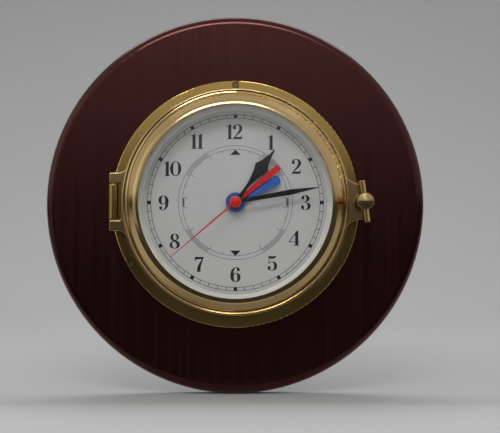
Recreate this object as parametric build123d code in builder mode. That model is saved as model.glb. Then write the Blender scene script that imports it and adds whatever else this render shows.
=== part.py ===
from build123d import *
import math
import os

# A tide clock: a quartz movement with a tide train, in a brass porthole case on a round wooden board.
# The wall is the plane Y = 0, the front faces -Y, and depths are counted outward from the wall.

# Wooden board
board_r = 140.0
board_thickness = 19.0
board_front_round = 6.0
board_back_round = 1.5
board_bore_r = 50.0

# Hanger plate, let into the back of the board
hanger_inset = 28.0
hanger_width = 40.0
hanger_depth = 18.0
hanger_thickness = 1.6
hanger_corner = 3.0
hanger_clearance = 0.2
keyhole_r = 4.5
keyhole_slot_width = 4.4
keyhole_slot_reach = 5.5
keyhole_drop = 2.5
hanger_pocket_depth = 8.0
hanger_pocket_margin = 1.5
hanger_screw_spread = 15.0
hanger_screw_r = 1.3
hanger_screw_head_r = 2.6
hanger_screw_head_depth = 1.2
hanger_screw_length = 11.0

# Brass case with its flange
flange_flat = 6.3
flange_thickness = 2.4
flange_edge_round = 0.8
cove_r = 8.0
case_r = 77.0
case_wall = 4.0
case_rim_round = 0.6
ledge_width = 6.5
ledge_thickness = 2.5
wall_bite = 2.5

# Flange screws
flange_screw_inset = 3.6
flange_screw_angles = (90, 210, 330)
flange_screw_r = 1.6
flange_screw_head_r = 2.6
flange_screw_head_height = 1.0
flange_screw_length = 13.0
flange_pocket_r = 2.9
flange_seat_thickness = 1.2
screw_tip_r = 0.4
screw_slot_width = 0.6
screw_slot_depth = 0.4
screw_slot_turn = 25.0
screw_tip_length = 3.0

# Dial and the ring round its margin
dial_height = 20.0
dial_thickness = 1.0
dial_clearance = 0.4
dial_ring_width = 6.4
dial_ring_slope = 1.8
dial_ring_height = 3.0
dial_screw_inset = 1.6
dial_screw_angles = (30, 150, 270)
dial_screw_r = 1.0
dial_screw_head_r = 1.4
dial_screw_head_height = 0.9
dial_screw_reach = 1.5

# Bezel, the hinged door
bezel_gap = 0.4
bezel_overhang = 3.5
bezel_rim_height = 5.8
bead_width = 2.0
bead_height = 0.8
bezel_cove_width = 1.6
bezel_cove_height = 0.72
bezel_slope_width = 4.5
bezel_slope_height = 5.08
bezel_shoulder_width = 3.4
bezel_shoulder_height = 1.5
bezel_front_width = 0.5
bezel_lip = 0.9

# Glass, its gasket and its retaining ring
glass_thickness = 3.0
glass_clearance = 0.3
glass_setback = 7.6
glass_air = 1.7
gasket_thickness = 0.8
gasket_width = 2.2
ring_thickness = 2.6
ring_width = 2.5
ring_clearance = 0.1

# Hinge
lug_thickness = 5.0
lug_edge_round = 0.7
lug_flare_r = 7.0
knuckle_r = 3.3
knuckle_length = 25.4
knuckle_clearance = 0.5
knuckle_end_round = 0.9
notch_gap = 2.2
notch_corner_r = 1.2
ear_corner_r = 1.0
rim_to_knuckle = 2.9
ear_length = 7.5
ear_tip = 2.7
hinge_web = 4.4
hinge_arm_height = 5.6
hinge_arm_gap = 0.8
pin_r = 1.3
pin_inset = 0.2
pin_clearance = 0.05

# Latch screw, its cross bar and its clip
latch_overhang = 10.6
latch_lug_inset = 0.9
latch_lug_width = 25.4
latch_flare_r = 11.0
latch_boss_r = 5.5
latch_shank_r = 2.4
latch_clearance = 0.1
latch_core_r = 2.0
latch_tapped_r = 2.5
latch_groove_r = 1.9
latch_collar_r = 4.2
latch_collar_height = 1.6
latch_collar_gap = 0.2
latch_neck_r = 3.4
latch_neck_height = 6.6
knob_r = 6.1
knob_height = 4.0
knob_rim = 0.7
knob_dish_depth = 1.3
knob_edge_round = 0.6
cross_bar_r = 2.3
cross_bar_length = 29.6
cross_bar_tilt = 7.5
cross_bar_end_round = 0.5
clip_r = 4.0
clip_thickness = 0.6
clip_play = 0.1
clip_travel = 3.1
case_boss_r = 6.4
case_boss_height = 12.0
case_recess_r = 4.6
case_recess_depth = 4.0
thread_length = 3.6

# Movement housing
housing_wall = 1.6
housing_corner = 4.0
plate_thickness = 2.0
plate_edge_round = 0.6
housing_screw_inset = 3.6
housing_screw_r = 0.85
housing_screw_head_r = 1.7
housing_screw_head_height = 0.8
housing_screw_bite = 1.2
housing_boss_r = 2.0
post_r = 1.8
post_height = 3.3

# Centre bush, its washer and its nut
bush_r = 4.6
bush_height = 4.9
dial_hole_clearance = 0.1
washer_r = 6.4
washer_thickness = 0.6
nut_flat = 11.6
nut_height = 2.2
fit_clearance = 0.02

# Coaxial pipes, from the inside out
running_clearance = 0.05
arbor_r = 0.6
minute_pipe_r = 1.3
hour_pipe_r = 2.1
centre_tube_r = 2.9
tide_pipe_r = 3.7

# Gear train: teeth and modules
cannon_teeth = 12
minute_wheel_teeth = 36
minute_module = 0.4
minute_pinion_teeth = 10
hour_wheel_teeth = 40
hour_drive_teeth = 57
tide_wheel_teeth = 59
idler_teeth = 19
hour_drive_module = 0.39
third_pinion_teeth = 8
second_wheel_teeth = 30
second_module = 0.4
rotor_teeth = 8
third_wheel_teeth = 64
rotor_module = 0.2
tooth_tip_share = 0.72
tooth_root_share = 1.05
tooth_tip_half_share = 0.09
tooth_root_half_share = 0.27

# Levels of the train, counted from the rear cover's inner floor
wheel_gap = 0.4
wheel_thickness = 1.4
thin_wheel_thickness = 1.0
fine_wheel_thickness = 0.7
pivot_gap = 0.3
middle_plate_thickness = 1.2
train_front_gap = 0.6
bridge_thickness = 1.2
cannon_height = 2.0
hour_collar_height = 0.8
hour_collar_r = 4.0
pivot_r = 0.5
stem_r = 1.2

# Plates of the movement
bridge_side_gap = 4.4
bridge_top_gap = 4.4
bridge_bottom_gap = 0.2
bridge_post_inset = 2.0
middle_coil_gap = 0.6
middle_top = 23.0
middle_bottom_inset = 0.9
middle_post_inset = 2.5
middle_post_r = 1.6

# Motor and circuit
magnet_r = 1.9
magnet_height = 2.0
magnet_gap = 0.4
stator_thickness = 0.8
stator_arm_half = 3.5
stator_leg_width = 6.0
stator_leg_height = 25.0
coil_offset = 6.7
coil_r = 2.9
coil_flange_r = 3.4
coil_length = 18.0
coil_flange_thickness = 1.0
coil_start = 4.6
circuit_width = 13.0
circuit_height = 12.0
circuit_thickness = 0.8
circuit_inset = 1.0
crystal_r = 1.0
crystal_length = 6.0

# Battery
battery_r = 7.1
battery_length = 49.0
battery_nub_r = 2.75
battery_nub_length = 1.2
battery_end_room = 7.5
battery_side_gap = 0.9
battery_floor_gap = 0.2
battery_front_gap = 0.5
bay_clearance = 2.6
bay_wall = 0.8
bay_wall_gap = 0.4
bay_window_margin = 0.3
contact_thickness = 0.5
contact_width = 9.0
contact_gap = 0.3
rib_thickness = 1.2
rib_gap = 0.3

# Setting knob
setting_knob_r = 5.0
setting_knob_height = 3.5
setting_knob_gap = 0.4
setting_knob_floor = 0.8
setting_knob_grips = 18
setting_knob_grip_r = 0.5

# Hands: gaps between their hubs, lengths and widths
tide_hand_gap = 0.3
hand_gap = 0.6
second_hand_gap = 0.2
tide_hand_hub_r = 7.0
tide_hand_hub_height = 1.6
tide_hand_length = 35.9
tide_hand_root_width = 4.6
tide_hand_tip_width = 6.6
tide_hand_tip_chamfer = 1.8
tide_hand_angle = 62.0
marker_hand_hub_r = 5.0
marker_hand_length = 40.2
marker_hand_root_width = 2.4
marker_hand_tip_width = 4.6
marker_hand_angle = 51.0
hour_hand_hub_r = 4.6
hour_hand_length = 46.2
hour_hand_root_width = 2.5
hour_hand_width = 10.6
hour_hand_wide_share = 0.67
hour_hand_neck = 6.0
hour_hand_neck_sag = 1.6
hour_hand_tip_sag = 1.0
hour_hand_tip_width = 1.2
hour_hand_angle = 37.0
minute_hand_hub_r = 4.6
minute_hand_shy = 5.6
minute_hand_root_width = 2.3
minute_hand_width = 3.9
minute_hand_wide_share = 0.67
minute_hand_angle = 80.0
second_hand_hub_r = 3.2
second_hand_shy = 5.8
second_hand_root_width = 1.2
second_hand_tip_width = 0.5
second_hand_angle = 229.5
hand_hub_height = 1.4
hand_thickness = 0.6
hand_tip_width = 0.4
minute_nut_r = 4.1
minute_nut_height = 1.2
minute_nut_chamfer = 0.3
second_cap_r = 3.6
second_cap_rim = 0.5
second_cap_height = 1.5

# Radii that follow from the case
case_bore_r = case_r - case_wall
flange_r = case_r + cove_r + flange_flat
flange_screw_circle_r = flange_r - flange_screw_inset
ledge_r = case_bore_r - ledge_width
dial_r = case_bore_r - dial_clearance
dial_ring_r = dial_r - dial_ring_width
dial_ring_mouth_r = dial_ring_r + dial_ring_slope
dial_screw_circle_r = dial_r - dial_screw_inset
bezel_rim_r = case_r + bezel_overhang
bead_inner_r = bezel_rim_r - bead_width
cove_top_r = bead_inner_r - bezel_cove_width
slope_top_r = cove_top_r - bezel_slope_width
bezel_front_r = slope_top_r - bezel_shoulder_width
bezel_opening_r = bezel_front_r - bezel_front_width
glass_seat_r = bezel_opening_r + gasket_width + glass_clearance + bezel_lip
hinge_x = bezel_rim_r + rim_to_knuckle + knuckle_r
latch_x = bezel_rim_r + latch_overhang
latch_lug_reach = latch_x - latch_lug_inset
minute_hand_length = dial_ring_r - minute_hand_shy
second_hand_length = dial_ring_r - second_hand_shy
hanger_height = board_r - hanger_inset

# Depths from the wall of the board, the case, the dial and the movement
board_front = board_thickness
flange_front = board_front + flange_thickness
flange_seat = board_front + flange_seat_thickness
dial_back = board_front + dial_height
dial_front = dial_back + dial_thickness
ledge_back = dial_back - ledge_thickness
plate_back = dial_back - plate_thickness
bush_front = dial_back + bush_height

# Depths of the hands, each hub clear of the one behind it
tide_hand_back = bush_front + tide_hand_gap
tide_hand_front = tide_hand_back + tide_hand_hub_height
marker_hand_back = tide_hand_front + hand_gap
marker_hand_front = marker_hand_back + hand_hub_height
hour_hand_back = marker_hand_front + hand_gap
hour_hand_front = hour_hand_back + hand_hub_height
minute_hand_back = hour_hand_front + hand_gap
minute_hand_front = minute_hand_back + hand_hub_height
minute_nut_front = minute_hand_front + minute_nut_height
second_hand_back = minute_nut_front + second_hand_gap
second_hand_front = second_hand_back + hand_thickness

# The glass clears the hands, and the case is as high as that needs
glass_back = second_hand_front + second_cap_height + glass_air
glass_front = glass_back + glass_thickness
bezel_back = glass_back - glass_setback
case_front = bezel_back - bezel_gap
bead_top = bezel_back + bezel_rim_height
cove_top = bead_top + bezel_cove_height
slope_top = cove_top + bezel_slope_height
bezel_front = slope_top + bezel_shoulder_height
lug_front = bezel_back + lug_thickness
hinge_depth = bezel_back + lug_thickness / 2
knuckle_half = knuckle_length / 2
ear_start = knuckle_half + knuckle_clearance
ear_end = ear_start + ear_length

# Centre distances of the train and the modules that follow from them
minute_wheel_reach = minute_module * (cannon_teeth + minute_wheel_teeth) / 2
hour_module = 2 * minute_wheel_reach / (minute_pinion_teeth + hour_wheel_teeth)
idler_reach = hour_drive_module * (hour_drive_teeth + idler_teeth) / 2
tide_module = 2 * idler_reach / (tide_wheel_teeth + idler_teeth)
third_reach = second_module * (second_wheel_teeth + third_pinion_teeth) / 2
rotor_reach = third_reach + rotor_module * (third_wheel_teeth + rotor_teeth) / 2

# The deeper of the wheel train and the battery sets the housing's depth
train_height = (
    post_height + bridge_thickness + cannon_height + hour_collar_height + middle_plate_thickness
    + 3 * wheel_thickness + 4 * wheel_gap + train_front_gap
)
bay_height = battery_floor_gap + 2 * battery_r + battery_front_gap
housing_height = housing_wall + max(train_height, bay_height)
cover_back = plate_back - housing_height
floor = cover_back + housing_wall

# The battery sets the housing's width, and lies below the wheels, which sets its height
tide_wheel_tip_r = tide_module * (tide_wheel_teeth / 2 + tooth_tip_share)
battery_drop = tide_wheel_tip_r + bay_clearance + bay_wall + bay_wall_gap + battery_r
battery_depth = floor + battery_floor_gap + battery_r
housing_half_width = battery_length / 2 + battery_end_room
housing_half_height = battery_drop + battery_r + battery_side_gap + housing_wall
inner_half_width = housing_half_width - housing_wall
inner_half_height = housing_half_height - housing_wall
bridge_half_width = inner_half_width - bridge_side_gap
bridge_top = inner_half_height - bridge_top_gap
bridge_bottom = tide_wheel_tip_r + bay_clearance - bridge_bottom_gap
middle_bottom = bridge_bottom - middle_bottom_inset
coil_x = rotor_reach + coil_offset
middle_half_width = coil_x - coil_flange_r - middle_coil_gap

# Levels of the wheels from the back to the front
arbor_back = floor + pivot_gap
second_wheel_back = floor + thin_wheel_thickness
second_wheel_front = second_wheel_back + thin_wheel_thickness
third_wheel_back = second_wheel_front + pivot_gap
bridge_back = floor + post_height
bridge_front = bridge_back + bridge_thickness
cannon_back = bridge_front + wheel_gap
cannon_front = cannon_back + cannon_height
minute_wheel_back = cannon_back + pivot_gap
minute_wheel_front = minute_wheel_back + middle_plate_thickness
hour_wheel_back = cannon_front + wheel_gap
hour_wheel_front = hour_wheel_back + wheel_thickness
hour_drive_back = hour_wheel_front + hour_collar_height
hour_drive_front = hour_drive_back + wheel_thickness
middle_back = hour_drive_front + wheel_gap
middle_front = middle_back + middle_plate_thickness
tide_wheel_back = middle_front + wheel_gap
tide_wheel_front = tide_wheel_back + wheel_thickness

# Profiles for turning hold a radius and a depth; FLOOR stands a solid on its base plane
PROFILE = Plane(origin=(0, 0, 0), x_dir=(1, 0, 0), z_dir=(0, 0, -1))
FLOOR = (Align.CENTER, Align.CENTER, Align.MIN)


def gear_points(teeth, module, start_angle):
    """Corners of a spur gear with straight flanks; a tooth stands at the start angle."""
    pitch_r = teeth * module / 2
    tip_r = pitch_r + tooth_tip_share * module
    root_r = pitch_r - tooth_root_share * module
    corners = (
        (root_r, -tooth_root_half_share),
        (tip_r, -tooth_tip_half_share),
        (tip_r, tooth_tip_half_share),
        (root_r, tooth_root_half_share),
    )
    points = []
    for tooth in range(teeth):
        for radius, turn_share in corners:
            angle = math.radians(start_angle + (tooth + turn_share) * 360 / teeth)
            points.append((radius * math.cos(angle), radius * math.sin(angle)))
    return points


def hand_plane(depth, clock_angle):
    """Plane of a hand, whose first axis points along the hand."""
    turn = math.radians(clock_angle)
    return Plane(origin=(0, -depth, 0), x_dir=(math.sin(turn), 0, math.cos(turn)), z_dir=(0, -1, 0))


def around(radius, angles):
    """Places on a circle round the clock's axis."""
    return [(radius * math.cos(math.radians(a)), radius * math.sin(math.radians(a))) for a in angles]


os.makedirs("parts", exist_ok=True)

flange_screw_places = around(flange_screw_circle_r, flange_screw_angles)
dial_screw_places = around(dial_screw_circle_r, dial_screw_angles)
hanger_screw_places = [(-hanger_screw_spread, hanger_height), (hanger_screw_spread, hanger_height)]
flange_screw_tip = flange_seat - flange_screw_length

# Board: a turned disc with a rounded front edge, bored behind the movement
with BuildPart(Plane.XZ) as board:
    Cylinder(board_r, board_thickness, align=FLOOR)
    fillet(board.edges().filter_by(GeomType.CIRCLE).sort_by(Axis.Y)[0], board_front_round)
    fillet(board.edges().filter_by(GeomType.CIRCLE).sort_by(Axis.Y)[-1], board_back_round)
    Cylinder(board_bore_r, board_thickness, align=FLOOR, mode=Mode.SUBTRACT)
    with BuildSketch(Plane.XZ):
        with Locations((0, hanger_height)):
            RectangleRounded(
                hanger_width + 2 * hanger_clearance, hanger_depth + 2 * hanger_clearance, hanger_corner
            )
    extrude(amount=hanger_thickness, mode=Mode.SUBTRACT)
    with BuildSketch(Plane.XZ.offset(hanger_thickness)):
        with Locations((0, hanger_height)):
            RectangleRounded(
                2 * keyhole_r + 2 * hanger_pocket_margin, hanger_depth - hanger_pocket_margin, hanger_corner
            )
    extrude(amount=hanger_pocket_depth, mode=Mode.SUBTRACT)
    with BuildSketch(Plane.XZ):
        with Locations(*hanger_screw_places):
            Circle(hanger_screw_r + fit_clearance)
    extrude(amount=hanger_screw_length + fit_clearance, mode=Mode.SUBTRACT)
    with BuildSketch(Plane.XZ.offset(board_front)):
        with Locations(*flange_screw_places):
            Circle(flange_screw_r + fit_clearance)
    extrude(amount=flange_screw_tip - board_front - fit_clearance, mode=Mode.SUBTRACT)
board.part.label = "board"
export_step(board.part, "parts/board.step")

# Hanger plate with its keyhole and countersunk screw holes
with BuildPart(Plane.XZ) as hanger_plate:
    with BuildSketch(Plane.XZ):
        with Locations((0, hanger_height)):
            RectangleRounded(hanger_width, hanger_depth, hanger_corner)
        with Locations((0, hanger_height - keyhole_drop)):
            Circle(keyhole_r, mode=Mode.SUBTRACT)
        with Locations((0, hanger_height - keyhole_drop + keyhole_slot_reach / 2)):
            Rectangle(keyhole_slot_width, keyhole_slot_reach, mode=Mode.SUBTRACT)
        with Locations((0, hanger_height - keyhole_drop + keyhole_slot_reach)):
            Circle(keyhole_slot_width / 2, mode=Mode.SUBTRACT)
        with Locations(*hanger_screw_places):
            Circle(hanger_screw_r + fit_clearance, mode=Mode.SUBTRACT)
    extrude(amount=hanger_thickness)
    with BuildSketch(Plane.XZ):
        with Locations(*hanger_screw_places):
            Circle(hanger_screw_head_r + fit_clearance)
    extrude(amount=hanger_screw_head_depth, mode=Mode.SUBTRACT)
hanger_plate.part.label = "hanger_plate"
export_step(hanger_plate.part, "parts/hanger_plate.step")

# Hanger screws: flat heads flush with the plate, points in the wood
with BuildPart(Plane.XZ) as hanger_screws:
    for x, z in hanger_screw_places:
        with Locations((x, z)):
            Cylinder(hanger_screw_head_r, hanger_screw_head_depth, align=FLOOR)
            Cylinder(hanger_screw_r, hanger_screw_length - screw_tip_length, align=FLOOR)
        with Locations((x, z, hanger_screw_length - screw_tip_length)):
            Cone(hanger_screw_r, screw_tip_r, screw_tip_length, align=FLOOR)
    with BuildSketch(Plane.XZ):
        with Locations(*hanger_screw_places):
            Rectangle(2 * hanger_screw_head_r, screw_slot_width, rotation=screw_slot_turn)
    extrude(amount=screw_slot_depth, mode=Mode.SUBTRACT)
hanger_screws.part.label = "hanger_screws"
export_step(hanger_screws.part, "parts/hanger_screws.step")

# Case: a turned brass shell whose cove runs out into the flange, with a ledge for the dial
with BuildPart() as case:
    with BuildSketch(PROFILE):
        with BuildLine():
            Polyline(
                (case_bore_r, ledge_back),
                (case_bore_r, board_front),
                (flange_r, board_front),
                (flange_r, flange_front),
                (case_r + cove_r, flange_front),
            )
            TangentArc(
                (case_r + cove_r, flange_front), (case_r, flange_front + cove_r), tangent=(-1, 0)
            )
            Polyline(
                (case_r, flange_front + cove_r),
                (case_r, case_front),
                (case_bore_r, case_front),
                (case_bore_r, dial_back),
                (ledge_r, dial_back),
                (ledge_r, ledge_back),
                (case_bore_r, ledge_back),
            )
        make_face()
    revolve(axis=Axis.Y)
    flange_edges = case.edges().filter_by(GeomType.CIRCLE).sort_by(SortBy.RADIUS)[-2:]
    fillet(flange_edges.sort_by(Axis.Y)[0], flange_edge_round)
    rim_edges = case.edges().filter_by(GeomType.CIRCLE).group_by(Axis.Y)[0]
    fillet(rim_edges, case_rim_round)
    # Hinge arm, its web and the knuckle
    with BuildSketch(PROFILE):
        with BuildLine():
            Polyline(
                (-(case_r - wall_bite), case_front - hinge_arm_gap),
                (-(hinge_x - hinge_web / 2), case_front - hinge_arm_gap),
                (-(hinge_x - hinge_web / 2), hinge_depth),
                (-(hinge_x + hinge_web / 2), hinge_depth),
                (-(hinge_x + hinge_web / 2), case_front - hinge_arm_height),
                (-(case_r - wall_bite), case_front - hinge_arm_height - hinge_arm_gap),
                close=True,
            )
        make_face()
        with Locations((-hinge_x, hinge_depth)):
            Circle(knuckle_r)
    extrude(amount=knuckle_half, both=True)
    with BuildSketch(PROFILE):
        with Locations((-hinge_x, hinge_depth)):
            Circle(pin_r + fit_clearance)
    extrude(amount=knuckle_half, both=True, mode=Mode.SUBTRACT)
    knuckle_arcs = case.edges().filter_by(GeomType.CIRCLE).filter_by(
        lambda e: abs(e.radius - knuckle_r) < pin_r / 4
    )
    knuckle_ends = knuckle_arcs.filter_by(lambda e: abs(abs(e.center().Z) - knuckle_half) < pin_r / 4)
    fillet(knuckle_ends, knuckle_end_round)
    # Boss that takes the latch screw
    with BuildSketch(Plane.XZ.offset(case_front - case_boss_height)):
        with Locations((latch_x, 0)):
            Circle(case_boss_r)
        with Locations(((case_r - wall_bite + latch_x) / 2, 0)):
            Rectangle(latch_x - case_r + wall_bite, 2 * case_boss_r)
    extrude(amount=case_boss_height)
    with BuildSketch(Plane.XZ.offset(case_front)):
        with Locations((latch_x, 0)):
            Circle(latch_tapped_r)
    extrude(amount=-case_boss_height, mode=Mode.SUBTRACT)
    with BuildSketch(Plane.XZ.offset(case_front)):
        with Locations((latch_x, 0)):
            Circle(case_recess_r)
    extrude(amount=-case_recess_depth, mode=Mode.SUBTRACT)
    # Flange screw holes and the pockets that sink their heads
    with BuildSketch(Plane.XZ.offset(flange_seat)):
        with Locations(*flange_screw_places):
            Circle(flange_pocket_r)
    extrude(amount=cove_r, mode=Mode.SUBTRACT)
    with BuildSketch(Plane.XZ.offset(board_front)):
        with Locations(*flange_screw_places):
            Circle(flange_screw_r + fit_clearance)
    extrude(amount=flange_thickness, mode=Mode.SUBTRACT)
    # Dial screw holes in the ledge
    with BuildSketch(Plane.XZ.offset(ledge_back)):
        with Locations(*dial_screw_places):
            Circle(dial_screw_r + fit_clearance)
    extrude(amount=ledge_thickness, mode=Mode.SUBTRACT)
case.part.label = "case"
export_step(case.part, "parts/case.step")

# Flange screws: low domed heads in the pockets, points in the board
with BuildPart(Plane.XZ) as flange_screws:
    for x, z in flange_screw_places:
        with Locations((x, z, flange_seat)):
            Cylinder(flange_screw_head_r, flange_screw_head_height, align=FLOOR)
        with Locations((x, z, flange_screw_tip + screw_tip_length)):
            Cylinder(flange_screw_r, flange_seat - flange_screw_tip - screw_tip_length, align=FLOOR)
        with Locations((x, z, flange_screw_tip)):
            Cone(screw_tip_r, flange_screw_r, screw_tip_length, align=FLOOR)
    heads = flange_screws.edges().filter_by(GeomType.CIRCLE).group_by(Axis.Y)[0]
    chamfer(heads, flange_screw_head_height / 2)
    with BuildSketch(Plane.XZ.offset(flange_seat + flange_screw_head_height)):
        with Locations(*flange_screw_places):
            Rectangle(2 * flange_screw_head_r, screw_slot_width, rotation=screw_slot_turn)
    extrude(amount=-screw_slot_depth, mode=Mode.SUBTRACT)
flange_screws.part.label = "flange_screws"
export_step(flange_screws.part, "parts/flange_screws.step")

# Hinge pin through the knuckle and both ears
with BuildPart(Plane.XY) as hinge_pin:
    with Locations((-hinge_x, -hinge_depth)):
        Cylinder(pin_r, 2 * (ear_end - pin_inset))
hinge_pin.part.label = "hinge_pin"
export_step(hinge_pin.part, "parts/hinge_pin.step")

# Bezel: rim bead, small cove, slope and rounded shoulder, in one ring with the hinge ears and latch lug
with BuildPart() as bezel:
    # Flat lugs that flare out of the rim: hinge ears on the left, latch lug on the right
    with BuildSketch(Plane.XZ.offset(bezel_back)) as lugs:
        Circle(bezel_rim_r)
        with Locations((-(hinge_x + ear_tip) / 2, 0)):
            Rectangle(hinge_x + ear_tip, 2 * ear_end)
        corners = lugs.vertices().filter_by(lambda v: v.X < 0 and abs(v.X) < bezel_rim_r)
        fillet(corners, lug_flare_r)
        with Locations((latch_lug_reach / 2, 0)):
            Rectangle(latch_lug_reach, latch_lug_width)
        corners = lugs.vertices().filter_by(
            lambda v: v.X > latch_lug_width and v.X < bezel_rim_r and abs(v.Y) < latch_lug_width
        )
        fillet(corners, latch_flare_r)
        with Locations((latch_x, 0)):
            Circle(latch_boss_r)
        Circle(bezel_rim_r - bead_width, mode=Mode.SUBTRACT)
        notch_edge = hinge_x - knuckle_r - notch_gap
        with Locations((-(hinge_x + ear_tip + notch_edge) / 2, 0)):
            Rectangle(hinge_x + ear_tip - notch_edge, 2 * ear_start, mode=Mode.SUBTRACT)
        ear_corners = lugs.vertices().filter_by(lambda v: v.X < -hinge_x)
        fillet(ear_corners, ear_corner_r)
        notch_corners = lugs.vertices().filter_by(lambda v: abs(v.X + notch_edge) < notch_gap / 4)
        fillet(notch_corners, notch_corner_r)
        with Locations((latch_x, 0)):
            Circle(latch_shank_r + latch_clearance, mode=Mode.SUBTRACT)
    extrude(amount=lug_thickness)
    with BuildSketch(PROFILE):
        with Locations((-hinge_x, hinge_depth)):
            Circle(pin_r + pin_clearance)
    extrude(amount=ear_end, both=True, mode=Mode.SUBTRACT)
    flat_faces = bezel.faces().filter_by(Axis.Y)
    lug_faces = flat_faces.filter_by(lambda f: abs(f.center().Y + lug_front) < lug_edge_round)
    lug_edges = lug_faces.edges()
    rim_limit = bezel_rim_r - bead_width / 4
    lug_rims = lug_edges.filter_by(lambda e: math.hypot(e.center().X, e.center().Z) > rim_limit)
    fillet(lug_rims.filter_by(lambda e: abs(e.center().X) < hinge_x), lug_edge_round)
    # Turned ring: bead, cove, slope and shoulder
    with BuildSketch(PROFILE):
        with BuildLine():
            Polyline(
                (glass_seat_r, glass_front),
                (glass_seat_r, bezel_back),
                (bezel_rim_r, bezel_back),
                (bezel_rim_r, bead_top),
            )
            ThreePointArc(
                (bezel_rim_r, bead_top),
                (bezel_rim_r - bead_width / 2, bead_top + bead_height),
                (bead_inner_r, bead_top),
            )
            TangentArc((bead_inner_r, bead_top), (cove_top_r, cove_top), tangent=(-1, 0))
            Line((cove_top_r, cove_top), (slope_top_r, slope_top))
            TangentArc((bezel_front_r, bezel_front), (slope_top_r, slope_top), tangent=(1, 0))
            Polyline(
                (bezel_front_r, bezel_front),
                (bezel_opening_r, bezel_front),
                (bezel_opening_r, glass_front),
                (glass_seat_r, glass_front),
            )
        make_face()
    revolve(axis=Axis.Y)
bezel.part.label = "bezel"
export_step(bezel.part, "parts/bezel.step")

# Window glass, seated behind the bezel's lip
glass_r = glass_seat_r - glass_clearance
with BuildPart(Plane.XZ) as glass:
    with Locations((0, 0, glass_back)):
        Cylinder(glass_r, glass_thickness, align=FLOOR)
glass.part.label = "glass"
export_step(glass.part, "parts/glass.step")

# Rubber gasket behind the glass
gasket_back = glass_back - gasket_thickness
with BuildPart(Plane.XZ) as glass_gasket:
    with BuildSketch(Plane.XZ.offset(gasket_back)):
        Circle(glass_r)
        Circle(glass_r - gasket_width, mode=Mode.SUBTRACT)
    extrude(amount=gasket_thickness)
glass_gasket.part.label = "glass_gasket"
export_step(glass_gasket.part, "parts/glass_gasket.step")

# Retaining ring that presses the gasket and glass against the lip
with BuildPart(Plane.XZ) as glass_ring:
    with BuildSketch(Plane.XZ.offset(gasket_back - ring_thickness)):
        Circle(glass_seat_r - ring_clearance)
        Circle(glass_seat_r - ring_clearance - ring_width, mode=Mode.SUBTRACT)
    extrude(amount=ring_thickness)
glass_ring.part.label = "glass_ring"
export_step(glass_ring.part, "parts/glass_ring.step")

# Latch screw: core, shank with the clip groove, collar, neck and dished knob
clip_front = bezel_back - clip_travel
clip_back = clip_front - clip_thickness
groove_front = clip_front + clip_play
groove_back = clip_back - clip_play
thread_tip = groove_back - thread_length
collar_back = lug_front + latch_collar_gap
collar_front = collar_back + latch_collar_height
knob_back = collar_front + latch_neck_height
knob_front = knob_back + knob_height
cross_bar_depth = collar_front + latch_neck_height / 2
cross_bar_plane = Plane(
    origin=(latch_x, -cross_bar_depth, 0),
    x_dir=(0, -1, 0),
    z_dir=(-math.sin(math.radians(cross_bar_tilt)), 0, math.cos(math.radians(cross_bar_tilt))),
)
with BuildPart() as latch_screw:
    with BuildSketch(PROFILE):
        with BuildLine():
            Polyline(
                (latch_x, thread_tip),
                (latch_x + latch_core_r, thread_tip),
                (latch_x + latch_core_r, groove_back),
                (latch_x + latch_groove_r, groove_back),
                (latch_x + latch_groove_r, groove_front),
                (latch_x + latch_shank_r, groove_front),
                (latch_x + latch_shank_r, collar_back),
                (latch_x + latch_collar_r, collar_back),
                (latch_x + latch_collar_r, collar_front),
                (latch_x + latch_neck_r, collar_front),
                (latch_x + latch_neck_r, knob_back),
                (latch_x + knob_r, knob_back),
                (latch_x + knob_r, knob_front),
                (latch_x + knob_r - knob_rim, knob_front),
                (latch_x, knob_front - knob_dish_depth),
                close=True,
            )
        make_face()
    revolve(axis=Axis((latch_x, 0, 0), (0, 1, 0)))
    knob_edge = latch_screw.edges().filter_by(GeomType.CIRCLE).filter_by(
        lambda e: e.radius > latch_collar_r
    )
    fillet(knob_edge.sort_by(lambda e: e.radius)[-2:].sort_by(Axis.Y)[-1], knob_edge_round)
    with BuildSketch(cross_bar_plane.offset(-latch_collar_r)):
        Circle(cross_bar_r + fit_clearance)
    extrude(amount=2 * latch_collar_r, mode=Mode.SUBTRACT)
latch_screw.part.label = "latch_screw"
export_step(latch_screw.part, "parts/latch_screw.step")

# Cross bar pushed through the neck
with BuildPart(cross_bar_plane) as cross_bar:
    Cylinder(cross_bar_r, cross_bar_length)
    fillet(cross_bar.edges().filter_by(GeomType.CIRCLE), cross_bar_end_round)
cross_bar.part.label = "cross_bar"
export_step(cross_bar.part, "parts/cross_bar.step")

# Clip that keeps the screw in the lug
with BuildPart(Plane.XZ) as latch_clip:
    with BuildSketch(Plane.XZ.offset(clip_back)):
        with Locations((latch_x, 0)):
            Circle(clip_r)
            Circle(latch_groove_r + running_clearance, mode=Mode.SUBTRACT)
    extrude(amount=clip_thickness)
latch_clip.part.label = "latch_clip"
export_step(latch_clip.part, "parts/latch_clip.step")

# Dial: a thin disc on the case's ledge
with BuildPart(Plane.XZ) as dial:
    with BuildSketch(Plane.XZ.offset(dial_back)):
        Circle(dial_r)
        Circle(bush_r + dial_hole_clearance, mode=Mode.SUBTRACT)
        with Locations(*dial_screw_places):
            Circle(dial_screw_r + fit_clearance, mode=Mode.SUBTRACT)
    extrude(amount=dial_thickness)
dial.part.label = "dial"
export_step(dial.part, "parts/dial.step")

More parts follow.
